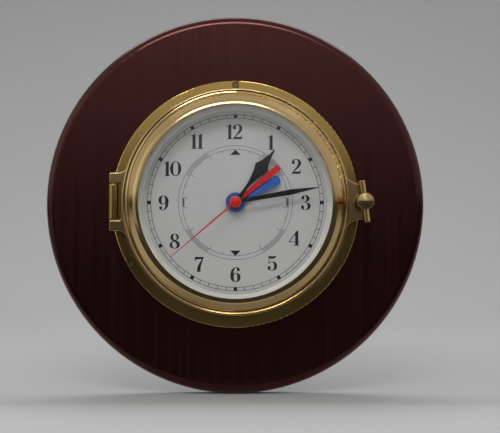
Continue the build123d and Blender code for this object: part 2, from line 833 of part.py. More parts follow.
# Dial ring: a bevelled ring that clamps the dial's margin
with BuildPart() as dial_ring:
    with BuildSketch(PROFILE):
        with BuildLine():
            Polyline(
                (dial_ring_r, dial_front),
                (dial_r, dial_front),
                (dial_r, dial_front + dial_ring_height),
                (dial_ring_mouth_r, dial_front + dial_ring_height),
                close=True,
            )
        make_face()
    revolve(axis=Axis.Y)
    with BuildSketch(Plane.XZ.offset(dial_front)):
        with Locations(*dial_screw_places):
            Circle(dial_screw_r + fit_clearance)
    extrude(amount=dial_ring_height, mode=Mode.SUBTRACT)
dial_ring.part.label = "dial_ring"
export_step(dial_ring.part, "parts/dial_ring.step")

# Dial screws through the ring and the dial into the ledge
dial_ring_front = dial_front + dial_ring_height
dial_screw_tip = dial_back - dial_screw_reach
with BuildPart(Plane.XZ) as dial_screws:
    for x, z in dial_screw_places:
        with Locations((x, z, dial_screw_tip)):
            Cylinder(dial_screw_r, dial_ring_front - dial_screw_tip, align=FLOOR)
        with Locations((x, z, dial_ring_front)):
            Cylinder(dial_screw_head_r, dial_screw_head_height, align=FLOOR)
    with BuildSketch(Plane.XZ.offset(dial_ring_front + dial_screw_head_height)):
        with Locations(*dial_screw_places):
            Rectangle(2 * dial_screw_head_r, screw_slot_width, rotation=screw_slot_turn)
    extrude(amount=-screw_slot_depth, mode=Mode.SUBTRACT)
dial_screws.part.label = "dial_screws"
export_step(dial_screws.part, "parts/dial_screws.step")

# Front plate of the movement, with the bush that passes through the dial
housing_screw_x = housing_half_width - housing_screw_inset
housing_screw_z = housing_half_height - housing_screw_inset
housing_screw_places = [
    (side * housing_screw_x, end * housing_screw_z) for side in (-1, 1) for end in (-1, 1)
]
idler_pivot_front = plate_back + plate_thickness / 2
with BuildPart(Plane.XZ) as front_plate:
    with BuildSketch(Plane.XZ.offset(plate_back)):
        RectangleRounded(2 * housing_half_width, 2 * housing_half_height, housing_corner)
    extrude(amount=plate_thickness)
    with BuildSketch(Plane.XZ.offset(dial_back)):
        Circle(bush_r)
    extrude(amount=bush_height)
    with BuildSketch(Plane.XZ.offset(plate_back)):
        Circle(tide_pipe_r + running_clearance)
    extrude(amount=plate_thickness + bush_height, mode=Mode.SUBTRACT)
    with BuildSketch(Plane.XZ.offset(plate_back)):
        with Locations((0, idler_reach)):
            Circle(arbor_r + running_clearance)
    extrude(amount=plate_thickness / 2 + running_clearance, mode=Mode.SUBTRACT)
    with BuildSketch(Plane.XZ.offset(plate_back)):
        with Locations(*housing_screw_places):
            Circle(housing_screw_r + fit_clearance)
    extrude(amount=housing_screw_bite + fit_clearance, mode=Mode.SUBTRACT)
front_plate.part.label = "front_plate"
export_step(front_plate.part, "parts/front_plate.step")

# Rubber washer on the dial, under the nut
with BuildPart(Plane.XZ) as dial_washer:
    with BuildSketch(Plane.XZ.offset(dial_front)):
        Circle(washer_r)
        Circle(bush_r + fit_clearance, mode=Mode.SUBTRACT)
    extrude(amount=washer_thickness)
dial_washer.part.label = "dial_washer"
export_step(dial_washer.part, "parts/dial_washer.step")

# Hexagon nut on the bush
with BuildPart(Plane.XZ) as dial_nut:
    with BuildSketch(Plane.XZ.offset(dial_front + washer_thickness)):
        RegularPolygon(nut_flat / 2, 6, major_radius=False)
        Circle(bush_r + fit_clearance, mode=Mode.SUBTRACT)
    extrude(amount=nut_height)
dial_nut.part.label = "dial_nut"
export_step(dial_nut.part, "parts/dial_nut.step")

# Middle plate on four posts, with the fixed tube that carries the marker hand
middle_post_x = middle_half_width - middle_post_inset
middle_post_places = [
    (side * middle_post_x, end)
    for side in (-1, 1)
    for end in (middle_top - middle_post_inset, middle_post_inset - middle_bottom)
]
with BuildPart(Plane.XZ) as middle_plate:
    with BuildSketch(Plane.XZ.offset(middle_back)):
        with Locations((0, (middle_top - middle_bottom) / 2)):
            RectangleRounded(2 * middle_half_width, middle_top + middle_bottom, middle_post_inset)
        with Locations((0, idler_reach)):
            Circle(arbor_r + running_clearance, mode=Mode.SUBTRACT)
    extrude(amount=middle_plate_thickness)
    with BuildSketch(Plane.XZ.offset(middle_front)):
        with Locations(*middle_post_places):
            Circle(middle_post_r)
    extrude(amount=plate_back - middle_front)
    with BuildSketch(Plane.XZ.offset(middle_back)):
        Circle(centre_tube_r)
    extrude(amount=marker_hand_front - middle_back)
    with BuildSketch(Plane.XZ.offset(middle_back)):
        Circle(hour_pipe_r + running_clearance)
    extrude(amount=marker_hand_front - middle_back, mode=Mode.SUBTRACT)
middle_plate.part.label = "middle_plate"
export_step(middle_plate.part, "parts/middle_plate.step")

# Train bridge on the rear cover's posts, with the pivot holes
with BuildPart(Plane.XZ) as train_bridge:
    with BuildSketch(Plane.XZ.offset(bridge_back)):
        with Locations((0, (bridge_top - bridge_bottom) / 2)):
            RectangleRounded(2 * bridge_half_width, bridge_top + bridge_bottom, bridge_post_inset)
        Circle(arbor_r + running_clearance, mode=Mode.SUBTRACT)
        with Locations((-minute_wheel_reach, 0)):
            Circle(stem_r + running_clearance, mode=Mode.SUBTRACT)
        with Locations((third_reach, 0), (rotor_reach, 0)):
            Circle(pivot_r + running_clearance, mode=Mode.SUBTRACT)
    extrude(amount=bridge_thickness)
train_bridge.part.label = "train_bridge"
export_step(train_bridge.part, "parts/train_bridge.step")

# Rear cover: a moulded box with posts, screw bosses, the battery bay and the stem hole
bay_top = battery_r + bay_wall_gap - battery_drop
rib_x = battery_length / 2 + contact_gap + contact_thickness
bridge_post_x = bridge_half_width - bridge_post_inset
bridge_post_places = [
    (side * bridge_post_x, end)
    for side in (-1, 1)
    for end in (bridge_top - bridge_post_inset, bridge_post_inset - bridge_bottom)
]
with BuildPart(Plane.XZ) as rear_cover:
    with BuildSketch(Plane.XZ.offset(cover_back)):
        RectangleRounded(2 * housing_half_width, 2 * housing_half_height, housing_corner)
    extrude(amount=housing_height)
    back_edges = rear_cover.faces().sort_by(Axis.Y)[-1].edges()
    chamfer(back_edges, plate_edge_round)
    with BuildSketch(Plane.XZ.offset(floor)):
        RectangleRounded(2 * inner_half_width, 2 * inner_half_height, housing_corner - housing_wall)
    extrude(amount=housing_height - housing_wall, mode=Mode.SUBTRACT)
    with BuildSketch(Plane.XZ.offset(floor)):
        with Locations(*bridge_post_places):
            Circle(post_r)
    extrude(amount=post_height)
    with BuildSketch(Plane.XZ.offset(floor)):
        with Locations(*housing_screw_places):
            Circle(housing_boss_r)
        with Locations((0, bay_top + bay_wall / 2)):
            Rectangle(2 * inner_half_width, bay_wall)
        for side in (-1, 1):
            with Locations((side * (rib_x + rib_thickness / 2), -battery_drop)):
                Rectangle(rib_thickness, contact_width)
    extrude(amount=housing_height - housing_wall - rib_gap)
    with BuildSketch(Plane.XZ.offset(cover_back)):
        with Locations((0, -battery_drop)):
            Rectangle(battery_length + 2 * bay_window_margin, 2 * battery_r)
        with Locations((-minute_wheel_reach, 0)):
            Circle(stem_r + running_clearance)
    extrude(amount=housing_wall, mode=Mode.SUBTRACT)
    with BuildSketch(Plane.XZ.offset(cover_back)):
        with Locations(*housing_screw_places):
            Circle(housing_screw_r + fit_clearance)
    extrude(amount=housing_height, mode=Mode.SUBTRACT)
rear_cover.part.label = "rear_cover"
export_step(rear_cover.part, "parts/rear_cover.step")

# Housing screws from the back into the front plate
with BuildPart(Plane.XZ) as housing_screws:
    for x, z in housing_screw_places:
        with Locations((x, z, cover_back)):
            Cylinder(housing_screw_r, housing_height + housing_screw_bite, align=FLOOR)
        with Locations((x, z, cover_back - housing_screw_head_height)):
            Cylinder(housing_screw_head_r, housing_screw_head_height, align=FLOOR)
    with BuildSketch(Plane.XZ.offset(cover_back - housing_screw_head_height)):
        with Locations(*housing_screw_places):
            Rectangle(2 * housing_screw_head_r, screw_slot_width, rotation=screw_slot_turn)
    extrude(amount=screw_slot_depth, mode=Mode.SUBTRACT)
housing_screws.part.label = "housing_screws"
export_step(housing_screws.part, "parts/housing_screws.step")

# Minute pipe with its cannon pinion
with BuildPart(Plane.XZ) as minute_pinion:
    with BuildSketch(Plane.XZ.offset(cannon_back)):
        Polygon(*gear_points(cannon_teeth, minute_module, 180), align=None)
    extrude(amount=cannon_height)
    with BuildSketch(Plane.XZ.offset(cannon_back)):
        Circle(minute_pipe_r)
    extrude(amount=minute_nut_front - cannon_back)
    with BuildSketch(Plane.XZ.offset(cannon_back)):
        Circle(arbor_r + running_clearance)
    extrude(amount=minute_nut_front - cannon_back, mode=Mode.SUBTRACT)
minute_pinion.part.label = "minute_pinion"
export_step(minute_pinion.part, "parts/minute_pinion.step")

# Minute wheel and its pinion on the stem that leads out to the setting knob
minute_wheel_centre = (-minute_wheel_reach, -minute_wheel_back, 0)
minute_wheel_plane = Plane.XZ.offset(minute_wheel_back).shift_origin(minute_wheel_centre)
knob_face_front = cover_back - setting_knob_gap
knob_face_back = knob_face_front - setting_knob_height
stem_back = knob_face_back + setting_knob_floor
with BuildPart(Plane.XZ) as minute_wheel:
    with BuildSketch(minute_wheel_plane):
        Polygon(*gear_points(minute_wheel_teeth, minute_module, 180 / minute_wheel_teeth), align=None)
    extrude(amount=minute_wheel_front - minute_wheel_back)
    with BuildSketch(minute_wheel_plane.offset(minute_wheel_front - minute_wheel_back)):
        Polygon(*gear_points(minute_pinion_teeth, hour_module, 0), align=None)
    extrude(amount=hour_wheel_front - minute_wheel_front)
    with Locations((-minute_wheel_reach, 0, stem_back)):
        Cylinder(stem_r, minute_wheel_back - stem_back, align=FLOOR)
minute_wheel.part.label = "minute_wheel"
export_step(minute_wheel.part, "parts/minute_wheel.step")

# Setting knob with grip flutes, pushed on the stem
with BuildPart(Plane.XZ) as setting_knob:
    with Locations((-minute_wheel_reach, 0, knob_face_back)):
        Cylinder(setting_knob_r, setting_knob_height, align=FLOOR)
        with PolarLocations(setting_knob_r, setting_knob_grips):
            Cylinder(setting_knob_grip_r, setting_knob_height, align=FLOOR, mode=Mode.SUBTRACT)
    with Locations((-minute_wheel_reach, 0, stem_back)):
        Cylinder(
            stem_r + fit_clearance, setting_knob_height - setting_knob_floor, align=FLOOR, mode=Mode.SUBTRACT
        )
setting_knob.part.label = "setting_knob"
export_step(setting_knob.part, "parts/setting_knob.step")

# Hour wheel: the driven wheel, a collar and the wheel that drives the tide train, on the hour pipe
with BuildPart(Plane.XZ) as hour_wheel:
    with BuildSketch(Plane.XZ.offset(hour_wheel_back)):
        Polygon(*gear_points(hour_wheel_teeth, hour_module, 180 / hour_wheel_teeth), align=None)
    extrude(amount=wheel_thickness)
    with BuildSketch(Plane.XZ.offset(hour_wheel_front)):
        Circle(hour_collar_r)
    extrude(amount=hour_collar_height)
    with BuildSketch(Plane.XZ.offset(hour_drive_back)):
        Polygon(*gear_points(hour_drive_teeth, hour_drive_module, 90), align=None)
    extrude(amount=wheel_thickness)
    with BuildSketch(Plane.XZ.offset(hour_drive_front)):
        Circle(hour_pipe_r)
    extrude(amount=hour_hand_front - hour_drive_front)
    with BuildSketch(Plane.XZ.offset(hour_wheel_back)):
        Circle(minute_pipe_r + running_clearance)
    extrude(amount=hour_hand_front - hour_wheel_back, mode=Mode.SUBTRACT)
hour_wheel.part.label = "hour_wheel"
export_step(hour_wheel.part, "parts/hour_wheel.step")

# Tide idler: one pinion behind the middle plate and one in front, on an arbor
idler_plane = Plane.XZ.shift_origin((0, 0, idler_reach))
idler_half_pitch = 180 / idler_teeth
with BuildPart(Plane.XZ) as tide_idler:
    with BuildSketch(idler_plane.offset(hour_drive_back)):
        Polygon(*gear_points(idler_teeth, hour_drive_module, 270 + idler_half_pitch), align=None)
    extrude(amount=wheel_thickness)
    with BuildSketch(idler_plane.offset(hour_drive_front)):
        Circle(arbor_r)
    extrude(amount=tide_wheel_back - hour_drive_front)
    with BuildSketch(idler_plane.offset(tide_wheel_back)):
        Polygon(*gear_points(idler_teeth, tide_module, 270), align=None)
    extrude(amount=wheel_thickness)
    with BuildSketch(idler_plane.offset(tide_wheel_front)):
        Circle(arbor_r)
    extrude(amount=idler_pivot_front - tide_wheel_front)
tide_idler.part.label = "tide_idler"
export_step(tide_idler.part, "parts/tide_idler.step")

# Tide wheel on its pipe
with BuildPart(Plane.XZ) as tide_wheel:
    with BuildSketch(Plane.XZ.offset(tide_wheel_back)):
        Polygon(*gear_points(tide_wheel_teeth, tide_module, 90 + 180 / tide_wheel_teeth), align=None)
    extrude(amount=wheel_thickness)
    with BuildSketch(Plane.XZ.offset(tide_wheel_front)):
        Circle(tide_pipe_r)
    extrude(amount=tide_hand_front - tide_wheel_front)
    with BuildSketch(Plane.XZ.offset(tide_wheel_back)):
        Circle(centre_tube_r + running_clearance)
    extrude(amount=tide_hand_front - tide_wheel_back, mode=Mode.SUBTRACT)
tide_wheel.part.label = "tide_wheel"
export_step(tide_wheel.part, "parts/tide_wheel.step")

# Second wheel on the long arbor
with BuildPart(Plane.XZ) as second_wheel:
    with BuildSketch(Plane.XZ.offset(second_wheel_back)):
        Polygon(*gear_points(second_wheel_teeth, second_module, 0), align=None)
    extrude(amount=thin_wheel_thickness)
    with BuildSketch(Plane.XZ.offset(arbor_back)):
        Circle(arbor_r)
    extrude(amount=second_hand_front - arbor_back)
second_wheel.part.label = "second_wheel"
export_step(second_wheel.part, "parts/second_wheel.step")

# Third wheel and its pinion, between the rotor and the second wheel
third_plane = Plane.XZ.shift_origin((third_reach, 0, 0))
with BuildPart(Plane.XZ) as third_wheel:
    with BuildSketch(third_plane.offset(second_wheel_back)):
        Polygon(
            *gear_points(third_pinion_teeth, second_module, 180 + 180 / third_pinion_teeth), align=None
        )
    extrude(amount=third_wheel_back - second_wheel_back)
    with BuildSketch(third_plane.offset(third_wheel_back)):
        Polygon(*gear_points(third_wheel_teeth, rotor_module, 0), align=None)
    extrude(amount=fine_wheel_thickness)
    with BuildSketch(third_plane.offset(arbor_back)):
        Circle(pivot_r)
    extrude(amount=bridge_front - arbor_back)
third_wheel.part.label = "third_wheel"
export_step(third_wheel.part, "parts/third_wheel.step")

# Rotor: a small magnet on an arbor with its pinion
rotor_plane = Plane.XZ.shift_origin((rotor_reach, 0, 0))
magnet_back = bridge_front + magnet_gap
with BuildPart(Plane.XZ) as rotor:
    with BuildSketch(rotor_plane.offset(third_wheel_back)):
        Polygon(*gear_points(rotor_teeth, rotor_module, 180 + 180 / rotor_teeth), align=None)
    extrude(amount=fine_wheel_thickness)
    with BuildSketch(rotor_plane.offset(arbor_back)):
        Circle(pivot_r)
    extrude(amount=magnet_back - arbor_back)
    with BuildSketch(rotor_plane.offset(magnet_back)):
        Circle(magnet_r)
    extrude(amount=magnet_height)
rotor.part.label = "rotor"
export_step(rotor.part, "parts/rotor.step")

# Stator: a flat iron plate round the magnet, with a leg under the coil
stator_arm_start = rotor_reach - stator_arm_half
stator_arm_end = coil_x + stator_leg_width / 2
with BuildPart(Plane.XZ) as stator:
    with BuildSketch(Plane.XZ.offset(bridge_front)):
        with Locations(((stator_arm_start + stator_arm_end) / 2, 0)):
            Rectangle(stator_arm_end - stator_arm_start, 2 * stator_arm_half)
        with Locations((coil_x, stator_leg_height / 2 - stator_arm_half)):
            Rectangle(stator_leg_width, stator_leg_height)
        with Locations((rotor_reach, 0)):
            Circle(magnet_r + magnet_gap, mode=Mode.SUBTRACT)
    extrude(amount=stator_thickness)
stator.part.label = "stator"
export_step(stator.part, "parts/stator.step")

# Coil: a winding between two bobbin flanges, lying on the stator's leg
coil_depth = bridge_front + stator_thickness + coil_flange_r + fit_clearance
with BuildPart() as coil:
    with BuildSketch(Plane.XY.offset(coil_start)):
        with Locations((coil_x, -coil_depth)):
            Circle(coil_r)
    extrude(amount=coil_length)
    for level in (coil_start, coil_start + coil_length - coil_flange_thickness):
        with BuildSketch(Plane.XY.offset(level)):
            with Locations((coil_x, -coil_depth)):
                Circle(coil_flange_r)
        extrude(amount=coil_flange_thickness)
coil.part.label = "coil"
export_step(coil.part, "parts/coil.step")

# Circuit board on the bridge
circuit_x = circuit_inset + circuit_width / 2 - bridge_half_width
circuit_z = bridge_top - circuit_inset - circuit_height / 2
circuit_front = bridge_front + circuit_thickness
with BuildPart(Plane.XZ) as circuit_board:
    with BuildSketch(Plane.XZ.offset(bridge_front)):
        with Locations((circuit_x, circuit_z)):
            Rectangle(circuit_width, circuit_height)
    extrude(amount=circuit_thickness)
circuit_board.part.label = "circuit_board"
export_step(circuit_board.part, "parts/circuit_board.step")

# Quartz crystal can, lying on the circuit board
with BuildPart() as crystal:
    with BuildSketch(Plane.YZ.offset(circuit_x - crystal_length / 2)):
        with Locations((-circuit_front - crystal_r - fit_clearance, circuit_z)):
            Circle(crystal_r)
    extrude(amount=crystal_length)
crystal.part.label = "crystal"
export_step(crystal.part, "parts/crystal.step")

# Battery with its nub, lying across the bay
with BuildPart() as battery:
    with BuildSketch(Plane.YZ.offset(-battery_length / 2)):
        with Locations((-battery_depth, -battery_drop)):
            Circle(battery_r)
    extrude(amount=battery_length - battery_nub_length)
    with BuildSketch(Plane.YZ.offset(battery_length / 2 - battery_nub_length)):
        with Locations((-battery_depth, -battery_drop)):
            Circle(battery_nub_r)
    extrude(amount=battery_nub_length)
battery.part.label = "battery"
export_step(battery.part, "parts/battery.step")

# Battery contacts: sprung plates against the ribs at both ends
contact_x = battery_length / 2 + contact_gap
with BuildPart(Plane.XZ) as battery_contacts:
    with BuildSketch(Plane.XZ.offset(floor)):
        for side in (-1, 1):
            with Locations((side * (contact_x + contact_thickness / 2), -battery_drop)):
                Rectangle(contact_thickness, contact_width)
    extrude(amount=2 * battery_r)
battery_contacts.part.label = "battery_contacts"
export_step(battery_contacts.part, "parts/battery_contacts.step")

# Tide hand: a broad blade with a chamfered tip and a big hub
blade_root = tide_hand_root_width / 2
blade_tip = tide_hand_tip_width / 2
with BuildPart() as tide_hand:
    with BuildSketch(hand_plane(tide_hand_back, tide_hand_angle)):
        with BuildLine():
            Polyline(
                (0, -blade_root),
                (tide_hand_length - tide_hand_tip_chamfer, -blade_tip),
                (tide_hand_length, tide_hand_tip_chamfer - blade_tip),
                (tide_hand_length, blade_tip - tide_hand_tip_chamfer),
                (tide_hand_length - tide_hand_tip_chamfer, blade_tip),
                (0, blade_root),
                close=True,
            )
        make_face()
    extrude(amount=hand_thickness)
    with BuildSketch(Plane.XZ.offset(tide_hand_back)):
        Circle(tide_hand_hub_r)
    extrude(amount=tide_hand_hub_height)
    with BuildSketch(Plane.XZ.offset(tide_hand_back)):
        Circle(tide_pipe_r + fit_clearance)
    extrude(amount=tide_hand_hub_height, mode=Mode.SUBTRACT)
tide_hand.part.label = "tide_hand"
export_step(tide_hand.part, "parts/tide_hand.step")

# Marker hand: a bar that widens to a square end, held by friction on the fixed tube
with BuildPart() as marker_hand:
    with BuildSketch(hand_plane(marker_hand_back, marker_hand_angle)):
        with BuildLine():
            Polyline(
                (0, -marker_hand_root_width / 2),
                (marker_hand_length, -marker_hand_tip_width / 2),
                (marker_hand_length, marker_hand_tip_width / 2),
                (0, marker_hand_root_width / 2),
                close=True,
            )
        make_face()
    extrude(amount=hand_thickness)
    with BuildSketch(Plane.XZ.offset(marker_hand_back)):
        Circle(marker_hand_hub_r)
    extrude(amount=hand_hub_height)
    with BuildSketch(Plane.XZ.offset(marker_hand_back)):
        Circle(centre_tube_r + running_clearance)
    extrude(amount=hand_hub_height, mode=Mode.SUBTRACT)
marker_hand.part.label = "marker_hand"
export_step(marker_hand.part, "parts/marker_hand.step")

# Hour hand: a kite with hollowed edges on a round hub
hour_root = hour_hand_root_width / 2
hour_half = hour_hand_width / 2
hour_tip = hour_hand_tip_width / 2
hour_wide = hour_hand_length * hour_hand_wide_share
neck_middle = (hour_hand_neck + hour_wide) / 2
neck_middle_half = (hour_root + hour_half) / 2 - hour_hand_neck_sag
tip_middle = (hour_wide + hour_hand_length) / 2
tip_middle_half = (hour_half + hour_tip) / 2 - hour_hand_tip_sag
with BuildPart() as hour_hand:
    with BuildSketch(hand_plane(hour_hand_back, hour_hand_angle)):
        with BuildLine():
            Polyline(
                (hour_hand_neck, -hour_root), (0, -hour_root), (0, hour_root), (hour_hand_neck, hour_root)
            )
            ThreePointArc(
                (hour_hand_neck, hour_root), (neck_middle, neck_middle_half), (hour_wide, hour_half)
            )
            ThreePointArc(
                (hour_wide, hour_half), (tip_middle, tip_middle_half), (hour_hand_length, hour_tip)
            )
            Line((hour_hand_length, hour_tip), (hour_hand_length, -hour_tip))
            ThreePointArc(
                (hour_hand_length, -hour_tip), (tip_middle, -tip_middle_half), (hour_wide, -hour_half)
            )
            ThreePointArc(
                (hour_wide, -hour_half), (neck_middle, -neck_middle_half), (hour_hand_neck, -hour_root)
            )
        make_face()
    extrude(amount=hand_thickness)
    with BuildSketch(Plane.XZ.offset(hour_hand_back)):
        Circle(hour_hand_hub_r)
    extrude(amount=hand_hub_height)
    with BuildSketch(Plane.XZ.offset(hour_hand_back)):
        Circle(hour_pipe_r + fit_clearance)
    extrude(amount=hand_hub_height, mode=Mode.SUBTRACT)
hour_hand.part.label = "hour_hand"
export_step(hour_hand.part, "parts/hour_hand.step")

# Minute hand: a slim kite on a round hub
minute_wide = minute_hand_length * minute_hand_wide_share
with BuildPart() as minute_hand:
    with BuildSketch(hand_plane(minute_hand_back, minute_hand_angle)):
        with BuildLine():
            Polyline(
                (0, -minute_hand_root_width / 2),
                (minute_wide, -minute_hand_width / 2),
                (minute_hand_length, -hand_tip_width / 2),
                (minute_hand_length, hand_tip_width / 2),
                (minute_wide, minute_hand_width / 2),
                (0, minute_hand_root_width / 2),
                close=True,
            )
        make_face()
    extrude(amount=hand_thickness)
    with BuildSketch(Plane.XZ.offset(minute_hand_back)):
        Circle(minute_hand_hub_r)
    extrude(amount=hand_hub_height)
    with BuildSketch(Plane.XZ.offset(minute_hand_back)):
        Circle(minute_pipe_r + fit_clearance)
    extrude(amount=hand_hub_height, mode=Mode.SUBTRACT)
minute_hand.part.label = "minute_hand"
export_step(minute_hand.part, "parts/minute_hand.step")

# Minute nut: a bright round nut on the minute pipe
with BuildPart(Plane.XZ) as minute_nut:
    with Locations((0, 0, minute_hand_front)):
        Cylinder(minute_nut_r, minute_nut_height, align=FLOOR)
    chamfer(minute_nut.edges().filter_by(GeomType.CIRCLE).sort_by(Axis.Y)[0], minute_nut_chamfer)
    with Locations((0, 0, minute_hand_front)):
        Cylinder(minute_pipe_r + fit_clearance, minute_nut_height, align=FLOOR, mode=Mode.SUBTRACT)
minute_nut.part.label = "minute_nut"
export_step(minute_nut.part, "parts/minute_nut.step")

# Second hand: a thin needle with a round hub
with BuildPart() as second_hand:
    with BuildSketch(hand_plane(second_hand_back, second_hand_angle)):
        with BuildLine():
            Polyline(
                (0, -second_hand_root_width / 2),
                (second_hand_length, -second_hand_tip_width / 2),
                (second_hand_length, second_hand_tip_width / 2),
                (0, second_hand_root_width / 2),
                close=True,
            )
        make_face()
        Circle(second_hand_hub_r)
        Circle(arbor_r + fit_clearance, mode=Mode.SUBTRACT)
    extrude(amount=hand_thickness)
second_hand.part.label = "second_hand"
export_step(second_hand.part, "parts/second_hand.step")

# Cap on the second hand: a low dome
with BuildPart() as second_cap:
    with BuildSketch(PROFILE):
        with BuildLine():
            Polyline(
                (0, second_hand_front + second_cap_height),
                (0, second_hand_front),
                (second_cap_r, second_hand_front),
                (second_cap_r, second_hand_front + second_cap_rim),
            )
            TangentArc(
                (0, second_hand_front + second_cap_height),
                (second_cap_r, second_hand_front + second_cap_rim),
                tangent=(1, 0),
            )
        make_face()
    revolve(axis=Axis.Y)
second_cap.part.label = "second_cap"
export_step(second_cap.part, "parts/second_cap.step")
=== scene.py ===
import math

import bpy
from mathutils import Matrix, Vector


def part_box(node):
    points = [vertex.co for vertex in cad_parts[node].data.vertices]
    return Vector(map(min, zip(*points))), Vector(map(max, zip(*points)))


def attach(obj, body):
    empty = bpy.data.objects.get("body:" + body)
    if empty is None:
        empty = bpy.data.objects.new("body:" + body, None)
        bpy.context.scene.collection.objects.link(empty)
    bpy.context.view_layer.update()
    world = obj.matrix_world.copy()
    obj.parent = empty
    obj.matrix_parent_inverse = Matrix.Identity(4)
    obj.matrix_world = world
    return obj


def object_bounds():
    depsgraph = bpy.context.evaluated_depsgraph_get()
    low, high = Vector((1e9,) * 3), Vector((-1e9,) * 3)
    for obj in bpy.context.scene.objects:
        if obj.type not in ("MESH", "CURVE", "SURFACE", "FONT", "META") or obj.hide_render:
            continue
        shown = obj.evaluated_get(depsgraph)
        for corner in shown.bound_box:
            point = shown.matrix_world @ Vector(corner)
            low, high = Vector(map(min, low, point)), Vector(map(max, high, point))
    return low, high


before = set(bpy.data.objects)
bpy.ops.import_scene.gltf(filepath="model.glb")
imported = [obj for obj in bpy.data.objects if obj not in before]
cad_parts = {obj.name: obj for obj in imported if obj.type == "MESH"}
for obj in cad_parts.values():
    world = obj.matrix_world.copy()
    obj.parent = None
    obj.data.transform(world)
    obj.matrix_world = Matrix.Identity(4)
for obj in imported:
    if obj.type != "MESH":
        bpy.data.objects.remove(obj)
cad_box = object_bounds()


# Board: a turned disc of mahogany, stained deep red-brown and lacquered to a satin sheen.
# Its grain runs up and down, and the lacquer has filled most of the open pores.
def finish(name):
    """A new material with its node tree and its Principled shader."""
    material = bpy.data.materials.new(name)
    material.use_nodes = True
    tree = material.node_tree
    return material, tree, tree.nodes["Principled BSDF"]


def spread(tree, value, low, high, from_low=0.0, from_high=1.0):
    """Maps a value that varies over the surface to a range."""
    node = tree.nodes.new("ShaderNodeMapRange")
    node.inputs["From Min"].default_value = from_low
    node.inputs["From Max"].default_value = from_high
    node.inputs["To Min"].default_value = low
    node.inputs["To Max"].default_value = high
    tree.links.new(value, node.inputs["Value"])
    return node.outputs["Result"]


def blend(tree, mask, first, second):
    """Mixes two colours by a mask; a colour is a tuple or a socket."""
    node = tree.nodes.new("ShaderNodeMix")
    node.data_type = "RGBA"
    tree.links.new(mask, node.inputs["Factor"])
    for label, colour in (("A", first), ("B", second)):
        socket = next(s for s in node.inputs if s.name == label and s.type == "RGBA")
        if isinstance(colour, tuple):
            socket.default_value = (*colour, 1.0)
        else:
            tree.links.new(colour, socket)
    return next(s for s in node.outputs if s.type == "RGBA")


def raise_bump(tree, height, shader, strength, distance):
    """Feeds a height into the shader's normal."""
    bump = tree.nodes.new("ShaderNodeBump")
    bump.inputs["Strength"].default_value = strength
    bump.inputs["Distance"].default_value = distance
    tree.links.new(height, bump.inputs["Height"])
    tree.links.new(bump.outputs["Normal"], shader.inputs["Normal"])


def stretched_noise(tree, stretch, scale, detail):
    """Noise on the piece's own coordinates, stretched along its axes."""
    place = tree.nodes.new("ShaderNodeTexCoord")
    mapping = tree.nodes.new("ShaderNodeMapping")
    mapping.inputs["Scale"].default_value = stretch
    noise = tree.nodes.new("ShaderNodeTexNoise")
    noise.inputs["Scale"].default_value = scale
    noise.inputs["Detail"].default_value = detail
    tree.links.new(place.outputs["Object"], mapping.inputs["Vector"])
    tree.links.new(mapping.outputs["Vector"], noise.inputs["Vector"])
    return noise.outputs["Fac"]


def dress(material, *names):
    """Gives CAD nodes their material."""
    for name in names:
        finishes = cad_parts[name].data.materials
        finishes.clear()
        finishes.append(material)


dark_wood = (0.0012, 0.0003, 0.0002)
red_wood = (0.0044, 0.0007, 0.0006)
streak_brown = (0.0008, 0.0004, 0.0004)
pore_brown = (0.0009, 0.0003, 0.0003)
mahogany, tree, shader = finish("mahogany_lacquered")
figure = stretched_noise(tree, stretch=(1.0, 1.0, 0.09), scale=38.0, detail=5.0)
streaks = stretched_noise(tree, stretch=(1.0, 1.0, 0.03), scale=210.0, detail=4.0)
pores = stretched_noise(tree, stretch=(1.0, 1.0, 0.05), scale=1500.0, detail=2.0)
figure_mask = spread(tree, figure, low=0.0, high=1.0, from_low=0.32, from_high=0.70)
streak_mask = spread(tree, streaks, low=0.0, high=0.7, from_low=0.40, from_high=0.66)
pore_mask = spread(tree, pores, low=0.0, high=0.8, from_low=0.60, from_high=0.72)
ground = blend(tree, figure_mask, dark_wood, red_wood)
streaked = blend(tree, streak_mask, ground, streak_brown)
pored = blend(tree, pore_mask, streaked, pore_brown)
satin = spread(tree, streaks, low=0.19, high=0.26, from_low=0.36, from_high=0.64)
tree.links.new(pored, shader.inputs["Base Color"])
tree.links.new(satin, shader.inputs["Roughness"])
raise_bump(tree, pores, shader, strength=0.08, distance=0.0002)
shader.inputs["Specular Tint"].default_value = (1.0, 0.355, 0.33, 1.0)
shader.inputs["Specular IOR Level"].default_value = 0.95
dress(mahogany, "board")


# Hanger plate: stamped zinc-plated steel, let into the board's back over the wall screw's pocket.
# Two small wood screws of the same plated steel hold it.
def effect_group(name, inputs, outputs):
    """A shader node group with float inputs and float outputs."""
    group = bpy.data.node_groups.new(name, "ShaderNodeTree")
    for label, value in inputs:
        socket = group.interface.new_socket(label, in_out="INPUT", socket_type="NodeSocketFloat")
        socket.default_value = value
    for label in outputs:
        group.interface.new_socket(label, in_out="OUTPUT", socket_type="NodeSocketFloat")
    return group, group.nodes.new("NodeGroupInput"), group.nodes.new("NodeGroupOutput")


